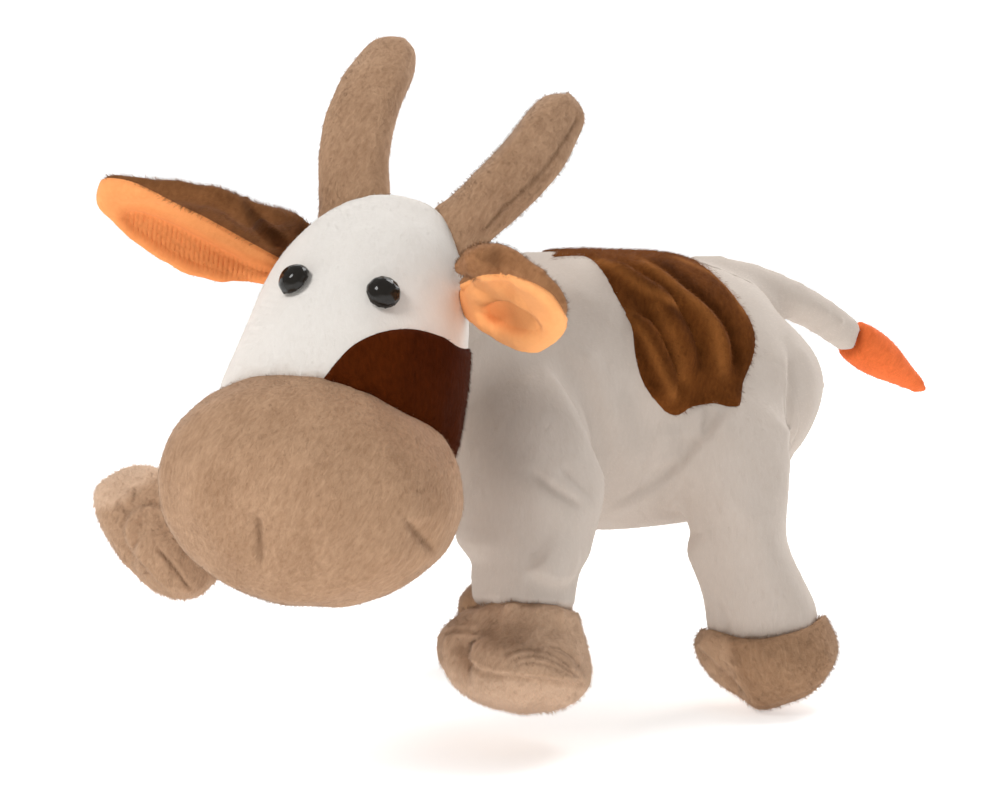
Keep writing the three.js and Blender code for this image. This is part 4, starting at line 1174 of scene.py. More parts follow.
# How much paler a hoof is made away from its sole, how clear its sole's seam is, and where its cuff starts on the
# leg
HOOF_PALE_BASE = {"front_hoof_left": 0.45, "front_hoof_right": 0.15, "hind_hoof_left": 0.2, "hind_hoof_right": 0.0}
HOOF_RIMS = {"front_hoof_left": 0.0, "front_hoof_right": 0.3, "hind_hoof_left": 0.5, "hind_hoof_right": 1.0}
HOOF_RIM = -10.4
CUFFS = {"front_hoof_left": (525, 604), "front_hoof_right": (166, 462)}


def cuff_place(name):
    """The point in a leg's middle where its hoof's cuff starts."""
    centre = next(np.array(centre) for end, side, centre, _ in HOOVES if name == f"{end}_hoof_{side}") * MM
    way = ray(CUFFS[name])
    return VIEW_PLACE + way * ((centre - VIEW_PLACE) @ VIEW_FORWARD / (way @ VIEW_FORWARD))


def cuff_of(leg, spot, way):
    """The end of a leg a little fuller, from a point on the leg downwards."""
    cuff = copy_of("cuff", leg)
    hull(cuff)
    puff(cuff, 2.0 * MM)
    edit(cuff, lambda: bpy.ops.mesh.bisect(
        plane_co=tuple(spot), plane_no=tuple(way), use_fill=True, clear_inner=True))
    return cuff


class PUPPET_OT_hooves(bpy.types.Operator):
    """Makes the four stuffed hooves with their cuffs, lobes, pleats and sole panels"""

    bl_idname = "puppet.hooves"
    bl_label = "Hooves"

    def execute(self, context):
        sizes = context.scene.puppet_sizes
        ways = {node: np.array(way) for node, _, _, way in LIMBS}
        for number, (end, side, centre, axes) in enumerate(HOOVES):
            name, sole, leg = f"{end}_hoof_{side}", f"{end}_sole_{side}", f"{end}_leg_{side}"
            centre_m, turn = np.array(centre) * MM, np.array(axes)
            hoof = copy_of(name + "_skin", name, sole)
            if name in CUFFS:
                cuff = cuff_of(leg, cuff_place(name), ways[leg])
                activate(hoof, cuff)
                bpy.ops.object.join()
            remesh(hoof, "hoof")
            plump(hoof, sizes.swell)
            fit(hoof, *HOOF_OUTLINES[name])
            refine(hoof, 2)
            here = points(hoof)
            if name in HOOF_TOPS:
                at = pixels_of(here)
                above = np.maximum(0, np.interp(at[:, 0], *np.array(HOOF_TOPS[name], float).T) - at[:, 1])
                here -= (0.85 * PIXEL * above)[:, None] * VIEW_UP
                place(hoof, here)
                even_out(hoof, 20)
                here = points(hoof)
            if name in HOOF_PALE:
                value, _ = polygon_field(HOOF_PALE[name])(pixels_of(here))
                mark(hoof, "pale", HOOF_PALE_BASE[name] + (0.8 - HOOF_PALE_BASE[name]) * ramp(value, -3, 10))
            # The sole's seam: a groove darkened with its own dark and painted shade
            local = (here - centre_m) @ turn.T / MM
            side_on = HOOF_RIMS[name] * ramp(0.85 - np.abs(normals(hoof) @ turn[2]), 0.0, 0.3)
            pull = np.exp(-((local[:, 2] - HOOF_RIM) / 1.3) ** 2) * side_on
            place(hoof, here - normals(hoof) * (0.7 * MM * pull)[:, None])
            mark(hoof, "seam", 0.4 * np.exp(-((local[:, 2] - HOOF_RIM) / 0.6) ** 2) * side_on)
            ruffle(hoof, 0.25 * MM, 16 * MM, 31 + number)
            base = twin("hoof_base", hoof)
            # Painted shade under the lobes, in the dents and, with the seams' own dark, in the seams' furrows
            for line, height, reach, edge, dark in HOOF_LOBES.get(name, ()):
                overlap(hoof, traced(line, base), height * MM, reach * MM, edge * MM, dark, True)
            remove(base)
            base = twin("hoof_base", hoof)
            for pixel, depth, width, dark in HOOF_DENTS.get(name, ()):
                dent(hoof, traced((pixel, (pixel[0] + 6, pixel[1])), base)[0], depth * MM, width * MM, dark)
            for line, depth, width, dark in HOOF_SEAMS[name]:
                sew(hoof, traced(line, base), depth * MM, width * MM, 0.15, dark)
            remove(base)
            dress(hoof, "Fawn plush" if end == "hind" else "Beige plush", "beige_plush", name, sole, fill=0.75)
            ride(hoof, f"{side}_{end}_limb")
        return {"FINISHED"}


HEAD_OUTLINE = (
    (216, 390), (224, 370), (230, 356), (238, 338), (245, 324), (251, 311), (258, 294), (264, 283), (271, 270),
    (279, 259), (288, 247), (297, 238), (307, 227), (317, 216), (330, 207), (350, 199), (375, 195), (400, 195),
    (420, 199), (437, 209), (450, 224), (460, 243), (464, 258), (467, 278), (468, 300), (468, 330), (468, 352),
    (467, 380), (465, 405), (461, 430), (457, 450))


class PUPPET_OT_head(bpy.types.Operator):
    """Makes the head's white skin with a hollow for the neck"""

    bl_idname = "puppet.head"
    bl_label = "Head"

    def execute(self, context):
        sizes = context.scene.puppet_sizes
        head = copy_of("head_skin", "head_cover")
        hull(head)
        remesh(head, "head")
        plump(head, 0.6 * sizes.swell)
        refine(head, 2)
        fit(head, np.array([375, 320]), HEAD_OUTLINE, 0.2, 0.8)
        ruffle(head, 0.25 * MM, 40 * MM, 51)
        dent(head, traced(((414, 206), (420, 206)), head)[0], 2.2 * MM, 8 * MM)
        here = points(head)
        off = here - NECK
        far = np.linalg.norm(off, axis=1)
        inside = far < NECK_BALL
        off[inside] *= (NECK_BALL / np.maximum(far[inside], 1e-6))[:, None]
        place(head, NECK + off)
        dress(head, "White plush", "cream_plush", "head_cover", "head_filling", fill=0.8)
        ride(head, "head")
        return {"FINISHED"}


class PUPPET_OT_muzzle(bpy.types.Operator):
    """Makes the big stuffed muzzle with its darts"""

    bl_idname = "puppet.muzzle"
    bl_label = "Muzzle"

    def execute(self, context):
        sizes = context.scene.puppet_sizes
        muzzle = copy_of("muzzle_skin", "muzzle")
        hull(muzzle)
        remesh(muzzle, "muzzle")
        plump(muzzle, sizes.swell)
        refine(muzzle, 2)
        ruffle(muzzle, 0.3 * MM, 30 * MM, 61)
        base = twin("muzzle_base", muzzle)
        for line in MUZZLE_DARTS:
            dart = traced(line, base)
            sew(muzzle, dart, 0.7 * MM, 1.2 * MM, 0.25, 0.75)
            sew(muzzle, dart, 1.2 * MM, 6.0 * MM, 0.4, 0.0)
        remove(base)
        dress(muzzle, "Beige plush", "beige_plush", "muzzle", fill=0.85)
        ride(muzzle, "head")
        return {"FINISHED"}


def applique(name, carrier, inside, lift, taper=2.2 * MM, merged=0.35 * MM, over=()):
    """A patch of cloth over the part of a skin where inside() is above zero. Its edge dives under the skin.
    It also lies over the pieces named as over, where they cover that skin."""
    patch = twin(name, carrier)
    for layer in ("seam", "pale"):
        if layer in patch.data.attributes:
            patch.data.attributes.remove(patch.data.attributes[layer])
    value, _ = inside(points(carrier), normals(carrier))
    mark(carrier, "covered", value > 0.8 * MM)
    strip(patch, np.arange(len(patch.data.vertices)) >= carrier.get("outside", len(patch.data.vertices)))
    value, _ = inside(points(patch), normals(patch))
    strip(patch, value < -0.9 * MM)
    here, out = points(patch), normals(patch)
    value, slope = inside(here, out)
    edge = value < 0.6 * MM
    here[edge] -= value[edge, None] * slope[edge]
    _, here[edge], _ = gap_to(tree_of(carrier), here[edge])
    value, _ = inside(here, out)
    rise = lift * ramp(value, -0.2 * MM, taper) - 0.25 * MM * (1 - ramp(value, 0.0, 0.8 * MM))
    for piece in over:
        tree = tree_of(piece)
        for i, (spot, way) in enumerate(zip(here, out)):
            hit = tree.ray_cast(Vector(spot + 12 * MM * way), Vector(-way), 12 * MM)
            if hit[0] is not None:
                rise[i] += 12 * MM - hit[3]
    place(patch, here + out * rise[:, None])
    edit(patch, lambda: bpy.ops.mesh.remove_doubles(threshold=merged),
         lambda: bpy.ops.mesh.dissolve_degenerate(threshold=0.02 * MM))
    even_edge(patch, 8)
    return patch


def drawn(outline, turned=0.0, soft=12 * MM):
    """inside() for an outline drawn on the photograph, on the side of a piece that faces the camera."""
    field = polygon_field(spread(list(outline) + [outline[0]], 4.0)[:-1])

    def inside(places, out):
        value, way = field(pixels_of(places))
        to_camera = VIEW_PLACE - places
        to_camera /= np.linalg.norm(to_camera, axis=1, keepdims=True)
        facing = ((out * to_camera).sum(1) + turned) * soft
        slope = in_view(way)
        slope[facing < value * PIXEL] = 0.0
        return np.minimum(value * PIXEL, facing), slope
    return inside


def polygon_field(outline):
    """How far a flat point lies inside an outline, in its own units, and the way inwards."""
    outline = np.asarray(outline, float)
    ends = np.roll(outline, -1, axis=0)

    def field(flat):
        best = np.full(len(flat), 1e9)
        near = np.zeros((len(flat), 2))
        odd = np.zeros(len(flat), bool)
        for a, b in zip(outline, ends):
            step = b - a
            t = np.clip(((flat - a) @ step) / (step @ step), 0, 1)
            spot = a + t[:, None] * step
            gap = np.linalg.norm(flat - spot, axis=1)
            closer = gap < best
            best[closer], near[closer] = gap[closer], spot[closer]
            if a[1] != b[1]:
                cross = (a[1] > flat[:, 1]) != (b[1] > flat[:, 1])
                odd ^= cross & (flat[:, 0] < (b[0] - a[0]) * (flat[:, 1] - a[1]) / (b[1] - a[1]) + a[0])
        sign = np.where(odd, 1.0, -1.0)
        way = (flat - near) * (sign / np.maximum(best, 1e-9))[:, None]
        return sign * best, way
    return field


class PUPPET_OT_patches(bpy.types.Operator):
    """Sews the brown saddle on the back and the brown patch on the left cheek"""

    bl_idname = "puppet.patches"
    bl_label = "Patches"

    def execute(self, context):
        body, head = bpy.data.objects["body_skin"], bpy.data.objects["head_skin"]
        field = polygon_field(spread(SADDLE_LINE + SADDLE_LINE[:1], 4.0)[:-1])
        front = traced(((556, 256), (562, 256)), body)[0][1]

        def on_saddle(places, out):
            mirror = np.where(places[:, :1] < 0, (-1.0, 1.0, 1.0), (1.0, 1.0, 1.0))
            value, way = field(pixels_of(places * mirror))
            slope = in_view(way) * mirror
            behind = np.where(places[:, 0] < 0, places[:, 1] - front + 0.9 * places[:, 0], 1.0)
            slope[behind < value * PIXEL] = (0.0, 1.0, 0.0)
            return np.minimum(value * PIXEL, behind), slope

        thighs = [bpy.data.objects[f"hind_leg_{side}_skin"] for side in ("left", "right")]
        saddle = applique("saddle_patch_skin", body, on_saddle, 1.0 * MM, over=thighs)
        # Painted shade in the saddle's folds and painted highlights on its ridges
        for strength, width, line in SADDLE_SHADE:
            shade_along(saddle, "seam", traced(line, saddle), strength, width * MM)
        for strength, width, line in SADDLE_HIGHLIGHTS:
            shade_along(saddle, "pale", traced(line, saddle), strength, width * MM)
        dress(saddle, "Brown plush", "brown_plush", "saddle_patch")
        ride(saddle, "torso")
        cheek = applique("face_patch_skin", head, drawn(CHEEK_LINE, 0.45, 30 * MM), 0.9 * MM)
        # Painted shade, growing darker towards the patch's right side as the camera sees it
        mark(cheek, "seam", 0.45 * ramp(pixels_of(points(cheek))[:, 0], 395, 455))
        dress(cheek, "Dark brown plush", "brown_plush", "face_patch")
        ride(cheek, "head")
        return {"FINISHED"}


# Each ear: its joint, its cloths, how far it moves on the photograph to its place there, its outline, the lining's
# outline and hollow, and the lines of its rim and its fold, with the painted shade in its hollow, under its rim and
# beside its fold, and the painted highlight on the lining outside the hollow
EARS = {
    "left": {
        "pivot": (43.05, -172.67, 57.82), "way": (0.9315, -0.3636, -0.0056),
        "cloth": "Tan plush", "inner": "Apricot plush", "centre": (512, 300), "nearer": 14, "root": 4.8,
        "slide": ((462, 565), (-10, 0)), "raise": ((462, 565), (2, 0)),
        "outline": ((467, 246), (480, 243), (508, 247), (519, 256), (531, 267), (551, 278), (563, 292), (568, 310),
                    (567, 322), (563, 333), (551, 345), (537, 351), (519, 349), (505, 342), (490, 333),
                    (473, 323), (464, 312), (460, 298), (459, 280), (461, 262), (466, 247)),
        "lining": ((455, 286), (463, 282), (479, 275), (497, 273), (519, 276), (536, 283),
                   (551, 292), (560, 303), (566, 314), (574, 326), (566, 342), (552, 354), (536, 360),
                   (515, 358), (498, 348), (484, 338), (464, 326), (456, 310)),
        "hollow": ((482, 306), (487, 301), (496, 298), (507, 297), (517, 300), (527, 306), (538, 316),
                   (545, 326), (545, 334), (536, 340), (520, 338), (500, 330), (485, 318)),
        "hollow_depth": 1.7, "hollow_shade": 0.0, "rim_highlight": 0.0, "ribs": 0.0,
        "rim": ((480, 307), (486, 301), (495, 298), (507, 297), (517, 300), (526, 306), (535, 314)),
        "rim_height": 1.2, "rim_shadow": 0.95,
        "fold": ((464, 263), (477, 257), (497, 255), (519, 261), (532, 270), (549, 281)),
        "fold_height": 1.0, "fold_shade": 0.25},
    "right": {
        "pivot": (1.58, -197.11, 63.73), "way": (-0.3631, -0.8812, 0.3028),
        "cloth": "Chestnut plush", "inner": "Orange plush", "centre": (200, 232), "nearer": 0, "root": 0.0,
        "slide": ((100, 300), (0, 0)), "raise": ((100, 290), (0, 14)),
        "outline": ((318, 214), (300, 213), (280, 209), (260, 203), (243, 197), (231, 192), (197, 186), (157, 180),
                    (135, 175), (112, 172), (101, 178), (97, 188), (98, 197), (106, 213), (119, 229), (143, 245),
                    (170, 261), (202, 275), (237, 280), (263, 281)),
        "lining": ((92, 184), (106, 177), (130, 180), (151, 189), (178, 203), (205, 216), (234, 232),
                   (261, 247), (281, 258), (300, 268), (300, 300), (262, 304), (230, 300), (190, 285),
                   (160, 270), (130, 248), (104, 225), (90, 205)),
        "hollow": ((117, 219), (122, 211), (130, 208), (149, 211), (170, 220), (197, 233), (223, 247),
                   (250, 259), (272, 268), (270, 278), (245, 284), (215, 279), (180, 265), (150, 248), (128, 233)),
        "hollow_depth": 1.6, "hollow_shade": 0.02, "rim_highlight": 0.15, "ribs": 0.22,
        "rim": ((116, 216), (122, 210), (132, 207), (150, 211), (178, 222), (205, 236), (235, 251), (262, 266)),
        "rim_height": 1.0, "rim_shadow": 0.3,
        "fold": ((291, 250), (277, 239), (263, 227), (250, 214), (240, 203), (229, 188)),
        "fold_height": 3.0, "fold_shade": 0.6},
}


def rib_wave(places):
    """The ribs of an ear's lining, a few pixels apart on the photograph."""
    return np.sin(2 * math.pi * (pixels_of(places) @ [1.0, 0.12]) / 5.0)


class PUPPET_OT_ears(bpy.types.Operator):
    """Makes the two ears, each of a plush back that rolls over its edge and a hollowed orange lining"""

    bl_idname = "puppet.ears"
    bl_label = "Ears"

    def execute(self, context):
        for side, ear in EARS.items():
            pivot, way = np.array(ear["pivot"]) * MM, np.array(ear["way"])
            back = copy_of(f"ear_{side}_back_skin", f"ear_{side}_back", f"ear_{side}_lining")
            if ear["root"]:
                bpy.ops.object.select_all(action="DESELECT")
                bpy.ops.mesh.primitive_uv_sphere_add(
                    segments=24, ring_count=12, radius=ear["root"] * MM,
                    location=tuple(pivot + 4.5 * MM * way + [0, 0, 2.2 * MM]))
                root = context.active_object
                bpy.ops.object.transform_apply(location=True)
                activate(back, root)
                bpy.ops.object.join()
            remesh(back, "ear")
            puff(back, 0.9 * MM)
            even_out(back, 4)
            here = points(back)
            at = pixels_of(here)
            slide, rise = (np.interp(at[:, 0], *ear[key]) for key in ("slide", "raise"))
            place(back, here + PIXEL * (slide[:, None] * VIEW_RIGHT + rise[:, None] * VIEW_UP))
            fit(back, np.array(ear["centre"]), ear["outline"])
            even_out(back, 4)
            here = points(back)
            at = pixels_of(here)
            nearer = ear["nearer"] * MM * ramp(at[:, 1], 232, 262) * ramp(-at[:, 0], -508, -468)
            place(back, here - nearer[:, None] * VIEW_FORWARD)
            refine(back, 1)
            here, out = points(back), normals(back)
            value, _ = drawn(ear["hollow"])(here, out)
            depth = ear["hollow_depth"] * ramp(value, -0.4 * MM, 2.8 * MM)
            ribs = ear["ribs"] * rib_wave(here) * ramp(value, 0, 2 * MM)
            place(back, here - out * ((depth + ribs) * MM)[:, None])
            base = twin("ear_base", back)
            fold_line, rim_line = traced(ear["fold"], base), traced(ear["rim"], base)
            overlap(back, rim_line, ear["rim_height"] * MM, 5 * MM, 1.2 * MM)
            # Painted shade beside the fold
            overlap(back, fold_line, ear["fold_height"] * MM, 6 * MM, 1.4 * MM, ear["fold_shade"])
            remove(base)
            lining = applique(
                f"ear_{side}_lining_skin", back, drawn(ear["lining"], 0.1), 0.7 * MM, 1.5 * MM, 0.16 * MM)
            # Painted shadow under the rim, painted shade in the hollow and striped along the ribs, and a painted
            # highlight on the lining outside the hollow
            shade_along(lining, "seam", rim_line, ear["rim_shadow"], 1.5 * MM)
            value, _ = drawn(ear["hollow"])(points(lining), normals(lining))
            mark(lining, "seam", ear["hollow_shade"] * ramp(value, 0, 3 * MM))
            if ear["ribs"]:
                wave = 0.5 + 0.5 * rib_wave(points(lining))
                mark(lining, "seam", (0.2 * (1 - wave) + ear["hollow_shade"]) * ramp(value, 0, 2 * MM))
            mark(lining, "pale", ear["rim_highlight"] * (1 - ramp(value, -2 * MM, 0)))
            dress(back, ear["cloth"], "brown_plush", f"ear_{side}_back", fill=0.2)
            dress(lining, ear["inner"], "orange_plush", f"ear_{side}_lining")
            for layer in (back, lining):
                blend(layer, "head", f"{side}_ear", tuple(pivot), tuple(pivot + 16 * MM * way))
        return {"FINISHED"}


# Each horn's middle line and its two sides on the photograph
HORN_SIDES = {
    "left": (
        ((458, 228), (575, 98)),
        ((434, 210), (460, 188), (479, 168), (497, 151), (516, 128), (527, 112), (538, 100), (549, 94)),
        ((489, 242), (502, 232), (520, 216), (538, 199), (553, 182), (567, 163), (576, 143), (581, 126), (583, 112)),
        ((-10, 15), (-10, 15)), True),
    "right": (
        ((352, 215), (396, 36)),
        ((317, 210), (317, 163), (323, 120), (333, 95), (343, 73), (366, 47), (380, 38)),
        ((391, 193), (388, 167), (392, 137), (400, 107), (413, 80), (416, 60), (408, 42)),
        ((-10, 15), (-10, 15)), True),
}


class PUPPET_OT_horns(bpy.types.Operator):
    """Makes the two stuffed horns, rooted in the head"""

    bl_idname = "puppet.horns"
    bl_label = "Horns"

    def execute(self, context):
        sizes = context.scene.puppet_sizes
        skull = copy_of("skull", "head_cover")
        hull(skull)
        skin = tree_of(skull)
        remove(skull)
        for side in ("left", "right"):
            node = f"horn_{side}"
            horn = copy_of(node + "_skin", node)
            sink(horn, skin, 2.5 * MM, 5 * MM)
            remesh(horn, "horn")
            plump(horn, 0.5 * sizes.swell)
            refine(horn, 2)
            draw_out(horn, *HORN_SIDES[side])
            if side == "left":
                base = twin("horn_base", horn)
                line = traced(HORN_SEAM, base)
                remove(base)
            else:
                line = line - 2 * ((line - NECK) @ HEAD_SIDE)[:, None] * HEAD_SIDE
                _, line, _ = gap_to(tree_of(horn), line, 60 * MM)
            sew(horn, line, 0.45 * MM, 0.8 * MM, 0.06, 0.8)
            sew(horn, line, 0.4 * MM, 3.2 * MM, 0.1, 0.0)
            dress(horn, "Beige plush", "beige_plush", node, fill=0.8)
            ride(horn, "head")
        return {"FINISHED"}


class PUPPET_OT_eyes(bpy.types.Operator):
    """Makes the two domed eyes and gives their washers a plastic"""

    bl_idname = "puppet.eyes"
    bl_label = "Eyes"

    def execute(self, context):
        for side in ("left", "right"):
            eye = copy_of(f"eye_{side}_dome", f"eye_{side}")
            remesh(eye, "eye")
            dress(eye, "Eye plastic", "eye_plastic", f"eye_{side}")
            ride(eye, "head")
            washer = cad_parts[f"eye_washer_{side}"]
            washer.data.materials.clear()
            washer.data.materials.append(bpy.data.materials["Washer plastic"])
        return {"FINISHED"}


class PUPPET_OT_tail(bpy.types.Operator):
    """Makes the tail, which grows out of the rump, and its orange tip"""

    bl_idname = "puppet.tail"
    bl_label = "Tail"

    def execute(self, context):
        sizes = context.scene.puppet_sizes
        tail = grown_limb("tail_skin", "tail", False, 8 * MM)
        line_inside(tail, sizes.cloth)
        dress(tail, "Cream plush", "cream_plush", "tail", fill=0.6)
        blend(tail, "torso", "tail_limb", tuple(TAIL - [0, 0.004, 0]), tuple(TAIL + [0, 0.018, 0]))
        tip = copy_of("tail_tip_skin", "tail_tip")
        remesh(tip, "tail_tip")
        plump(tip, 0.6 * sizes.swell)
        refine(tip, 2)
        puff(tip, 1.0 * MM)
        dress(tip, "Rust plush", "orange_plush", "tail_tip", fill=0.5)
        ride(tip, "tail_limb")
        return {"FINISHED"}


class PUPPET_OT_inside(bpy.types.Operator):
    """Makes the hem of the hand opening, the linings and the finger pocket"""

    bl_idname = "puppet.inside"
    bl_label = "Inside"

    def execute(self, context):
        hem = copy_of("opening_hem_skin", "opening_hem")
        remesh(hem, "hem")
        refine(hem, 1)
        here = points(hem)
        far = np.hypot(here[:, 0], here @ MOUTH_UP)
        deep = -(here @ MOUTH_OUT)
        fuller = 5.0 * MM * ramp(deep, 0.0, 9 * MM) * ramp(far, 28 * MM, 32 * MM)
        longer = 1.9 * np.maximum(0, deep - 3 * MM)
        radial = (here - (here @ MOUTH_OUT)[:, None] * MOUTH_OUT) / far[:, None]
        place(hem, here + fuller[:, None] * radial - longer[:, None] * MOUTH_OUT)
        even_out(hem, 6)
        ruffle(hem, 0.3 * MM, 22 * MM, 81)
        here = points(hem)
        at = pixels_of(here)
        value, inward = polygon_field(RUMP_OUTLINE + ((787, 480), (784, 530), (600, 530), (600, 300)))(at)
        beyond = np.where((value < 0) & (at[:, 0] > 775) & (at[:, 1] < 530), 2 - value, 0)
        place(hem, here + (PIXEL * beyond)[:, None] * in_view(inward))
        even_out(hem, 4)
        dress(hem, "Cream plush", "cream_plush", "opening_hem", fill=0.3)
        ride(hem, "torso")
        legs = [tree_of(bpy.data.objects[f"front_leg_{side}_skin"]) for side in ("left", "right")]
        for node, body in (("hand_lining", "torso"), ("neck_lining", "neck"), ("finger_pocket", "head")):
            cloth = copy_of(node + "_cloth", node)
            edit(cloth, lambda: bpy.ops.mesh.tris_convert_to_quads())
            if node == "neck_lining":
                here = points(cloth)
                near = np.array([min(leg.find_nearest(Vector(p))[3] for leg in legs) for p in here])
                inward = here.mean(axis=0) - here
                inward /= np.linalg.norm(inward, axis=1)[:, None]
                place(cloth, here + (3 * MM * ramp(9 * MM - near, 0, 6 * MM))[:, None] * inward)
            dress(cloth, "Lining cloth", "lining_cloth", node)
            smooth_look(cloth, 40)
            ride(cloth, body)
        return {"FINISHED"}


# Pieces with pile: its length and density as shares of the sizes above, and the way it is brushed
PILE = (
    ("body", 0.75, 0.8, (0.0, 0.7, -0.6)), ("opening_hem", 0.6, 0.6, (0.0, 0.3, -0.6)),
    ("front_leg_left", 0.75, 0.8, (0.0, 0.1, -0.9)), ("front_leg_right", 0.75, 0.8, (-0.4, -0.5, -0.5)),
    ("hind_leg_left", 0.75, 0.8, (0.0, 0.2, -0.9)), ("hind_leg_right", 0.75, 0.8, (0.0, 0.2, -0.9)),
    ("tail", 0.8, 0.9, (0.0, 0.8, -0.3)), ("tail_tip", 0.9, 1.2, (0.0, 0.7, -0.6)),
    ("front_hoof_left", 1.3, 1.5, (0.2, 0.3, -0.6)), ("front_hoof_right", 1.3, 1.5, (-0.3, 0.2, -0.6)),
    ("hind_hoof_left", 1.3, 1.5, (0.4, 0.3, -0.3)), ("hind_hoof_right", 1.3, 1.5, (-0.2, 0.3, -0.6)),
    ("head", 0.65, 0.8, (0.2, -0.5, -0.7)), ("muzzle", 0.85, 1.1, (0.1, -0.3, -0.8)),
    ("saddle_patch", 1.2, 1.6, (0.3, 0.6, -0.5)), ("face_patch", 1.1, 1.5, (0.6, 0.3, -0.6)),
    ("horn_left", 1.1, 1.4, (0.3, 0.2, -0.4)), ("horn_right", 1.0, 1.3, (0.0, 0.2, -0.7)),
    ("ear_left_back", 1.0, 1.5, (0.4, -0.1, 0.15)), ("ear_left_lining", 0.5, 1.0, (0.7, -0.2, 0.2)),
    ("ear_right_back", 1.4, 1.6, (-0.2, -0.4, 0.15)), ("ear_right_lining", 0.4, 1.0, (-0.4, -0.8, 0.2)),
)


# Each sheet of cloth: its flat width, length and area in metres, and what it is sewn to
SHEETS = (
    ("saddle_patch_skin", (0.100, 0.100), 0.0090, ["body_skin"]),
    ("face_patch_skin", (0.055, 0.065), 0.0030, ["head_skin"]),
    ("ear_left_lining_skin", (0.035, 0.060), 0.0018, ["ear_left_back_skin"]),
    ("ear_right_lining_skin", (0.030, 0.062), 0.0015, ["ear_right_back_skin"]),
    ("hand_lining_cloth", (0.240, 0.160), 0.0354, ["opening_hem_skin", "body_skin"]),
    ("neck_lining_cloth", (0.119, 0.0232), 0.00263, ["body_skin", "head_skin"]),
    ("finger_pocket_cloth", (0.050, 0.060), 0.0027, ["head_skin"]),
)


class PUPPET_OT_pile(bpy.types.Operator):
    """Covers the plush pieces with short strands of pile"""

    bl_idname = "puppet.pile"
    bl_label = "Pile"

    def execute(self, context):
        sizes = context.scene.puppet_sizes
        for number, (name, length, density, comb) in enumerate(PILE):
            base = bpy.data.objects[name + "_skin"]
            strands = pile(base, name + "_pile", length * sizes.pile_length, density * sizes.pile_density,
                           100 + number, comb)
            follow(strands, base)
        for name, flat, area, sewn_to in SHEETS:
            strands = bpy.data.objects.get(name.replace("_skin", "_pile"))
        return {"FINISHED"}


# What the lights point at, and each light: how far it stands to the right of that, beyond it and above it as the
# camera sees it, its size and its power
AIM = np.array([0.0, -0.095, 0.01])
LIGHTS = (
    ("key", (-0.75, -0.9, 0.85), 0.55, 10.2), ("fill", (1.2, -0.9, 0.4), 1.0, 0.8),
    ("rim", (0.7, 1.0, 0.8), 0.6, 6), ("top", (0.5, 0.3, 1.1), 0.6, 6))


def light(name, place_m, size, power):
    data = bpy.data.lights.new(name, "AREA")
    data.shape = "DISK"
    data.size = size
    data.energy = power
    lamp = bpy.data.objects.new(name, data)
    bpy.context.scene.collection.objects.link(lamp)
    lamp.location = Vector(place_m)
    lamp.rotation_euler = (Vector(AIM) - Vector(place_m)).to_track_quat("-Z", "Y").to_euler()


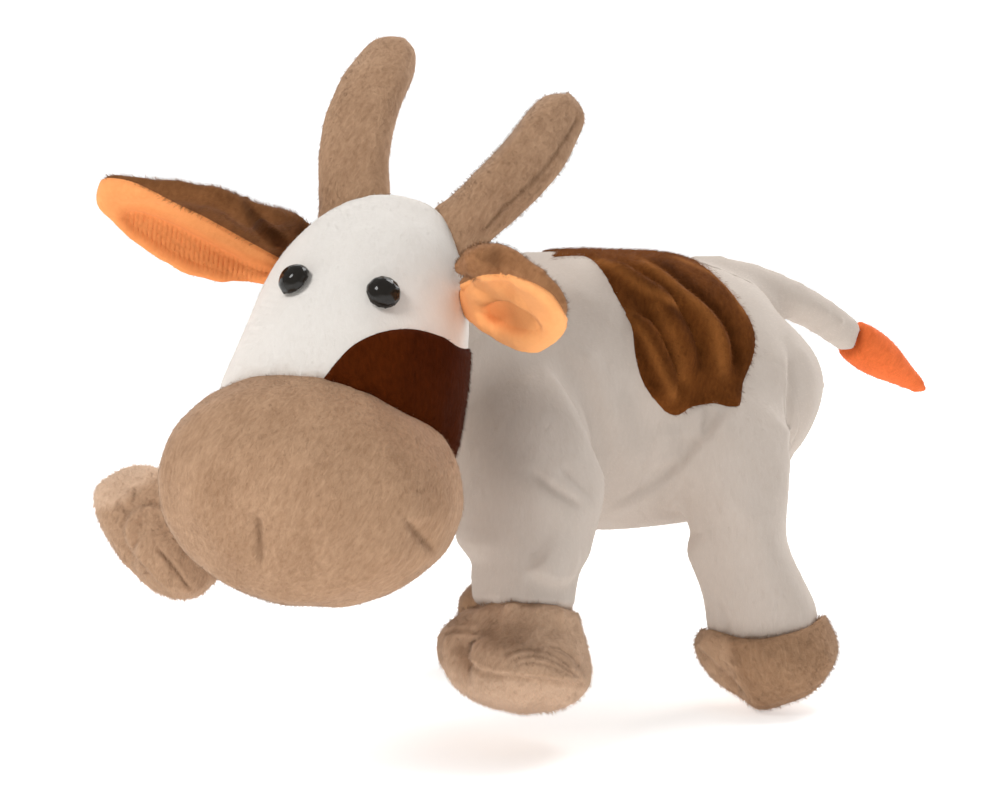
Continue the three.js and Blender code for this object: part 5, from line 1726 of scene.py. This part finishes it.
class PUPPET_OT_stage(bpy.types.Operator):
    """Sets up the glowing pale floor, the soft studio lights and the photograph's camera"""

    bl_idname = "puppet.stage"
    bl_label = "Stage"

    def execute(self, context):
        scene = context.scene
        bpy.ops.object.select_all(action="DESELECT")
        bpy.ops.mesh.primitive_plane_add(size=9, location=(0, 0, 0))
        floor = context.active_object
        floor.name = "floor"
        bpy.ops.object.mode_set(mode="EDIT")
        bpy.ops.mesh.select_all(action="DESELECT")
        bpy.ops.object.mode_set(mode="OBJECT")
        for edge in floor.data.edges:
            edge.select = all(floor.data.vertices[i].co.y > 1 for i in edge.vertices)
        bpy.ops.object.mode_set(mode="EDIT")
        bpy.ops.mesh.select_mode(type="EDGE")
        bpy.ops.mesh.extrude_region_move(TRANSFORM_OT_translate={"value": (0, 0, 5)})
        bpy.ops.object.mode_set(mode="OBJECT")
        shape(floor, "BEVEL", width=2.5, segments=18, limit_method="ANGLE")
        smooth_look(floor)
        corners = points(floor)
        corners[:, 0] *= 6
        corners[corners[:, 1] < -4, 1] = -27
        place(floor, corners)
        floor.location = (0, 0, FLOOR)
        floor.rotation_euler = (0, 0, VIEW_AZIMUTH)
        bpy.ops.object.transform_apply(location=True, rotation=True, scale=True)
        # The floor glows, more the higher up its sweep: painted light that keeps it white and washes out the shadows
        # on it
        material, tree, shader = new_material("Pale floor", (0.8, 0.8, 0.8))
        give(shader, {
            "Base Color": (0.93, 0.93, 0.93, 1), "Roughness": 0.9, "Emission Color": (1, 1, 1, 1)})
        where, split, span = (add(tree, "ShaderNode" + kind) for kind in ("TexCoord", "SeparateXYZ", "MapRange"))
        give(span, {"From Min": FLOOR + 0.001, "From Max": FLOOR + 0.5, "To Min": 0.45, "To Max": 0.95})
        tree.links.new(where.outputs["Object"], split.inputs[0])
        tree.links.new(split.outputs["Z"], span.inputs["Value"])
        tree.links.new(span.outputs["Result"], shader.inputs["Emission Strength"])
        floor.data.materials.append(material)
        for name, (right, beyond, above), size, power in LIGHTS:
            light(name, AIM + right * VIEW_RIGHT + beyond * VIEW_FORWARD + above * VIEW_UP, size, power)
        world = bpy.data.worlds.new("Studio")
        scene.world = world
        world.use_nodes = True
        give(world.node_tree.nodes["Background"], {"Color": (1, 1, 1, 1), "Strength": 0.32})
        scene.view_settings.view_transform = "Standard"
        data = bpy.data.cameras.new("photo camera")
        data.lens = VIEW_LENS
        data.sensor_width = VIEW_SENSOR
        data.clip_start = 0.01
        camera = bpy.data.objects.new("photo camera", data)
        scene.collection.objects.link(camera)
        camera.location = Vector(VIEW_PLACE)
        camera.rotation_euler = Vector(VIEW_FORWARD).to_track_quat("-Z", "Y").to_euler()
        scene.camera = camera
        return {"FINISHED"}


OPERATORS = (
    PUPPET_OT_materials, PUPPET_OT_body, PUPPET_OT_legs, PUPPET_OT_hooves, PUPPET_OT_head,
    PUPPET_OT_muzzle, PUPPET_OT_patches, PUPPET_OT_ears, PUPPET_OT_horns, PUPPET_OT_eyes,
    PUPPET_OT_tail, PUPPET_OT_inside, PUPPET_OT_pile, PUPPET_OT_stage)


class PUPPET_PT_panel(bpy.types.Panel):
    """Sizes, colours and steps of the puppet"""

    bl_idname = "PUPPET_PT_panel"
    bl_label = "Cow hand puppet"
    bl_space_type = "VIEW_3D"
    bl_region_type = "UI"
    bl_category = "Puppet"

    def draw(self, context):
        layout = self.layout
        for group in (context.scene.puppet_sizes, context.scene.puppet_colours):
            column = layout.column()
            for name in group.__annotations__:
                column.prop(group, name)
        for operator in OPERATORS:
            layout.operator(operator.bl_idname)


CLASSES = (PuppetSizes, PuppetColours, *OPERATORS, PUPPET_PT_panel)


def register():
    for item in CLASSES:
        bpy.utils.register_class(item)
    bpy.types.Scene.puppet_sizes = bpy.props.PointerProperty(type=PuppetSizes)
    bpy.types.Scene.puppet_colours = bpy.props.PointerProperty(type=PuppetColours)


def unregister():
    del bpy.types.Scene.puppet_colours
    del bpy.types.Scene.puppet_sizes
    for item in reversed(CLASSES):
        bpy.utils.unregister_class(item)


def main():
    register()
    bpy.ops.puppet.materials()
    bpy.ops.puppet.body()
    bpy.ops.puppet.legs()
    bpy.ops.puppet.hooves()
    bpy.ops.puppet.head()
    bpy.ops.puppet.muzzle()
    bpy.ops.puppet.patches()
    bpy.ops.puppet.ears()
    bpy.ops.puppet.horns()
    bpy.ops.puppet.eyes()
    bpy.ops.puppet.tail()
    bpy.ops.puppet.inside()
    bpy.ops.puppet.pile()
    bpy.ops.puppet.stage()


if __name__ == "__main__":
    main()
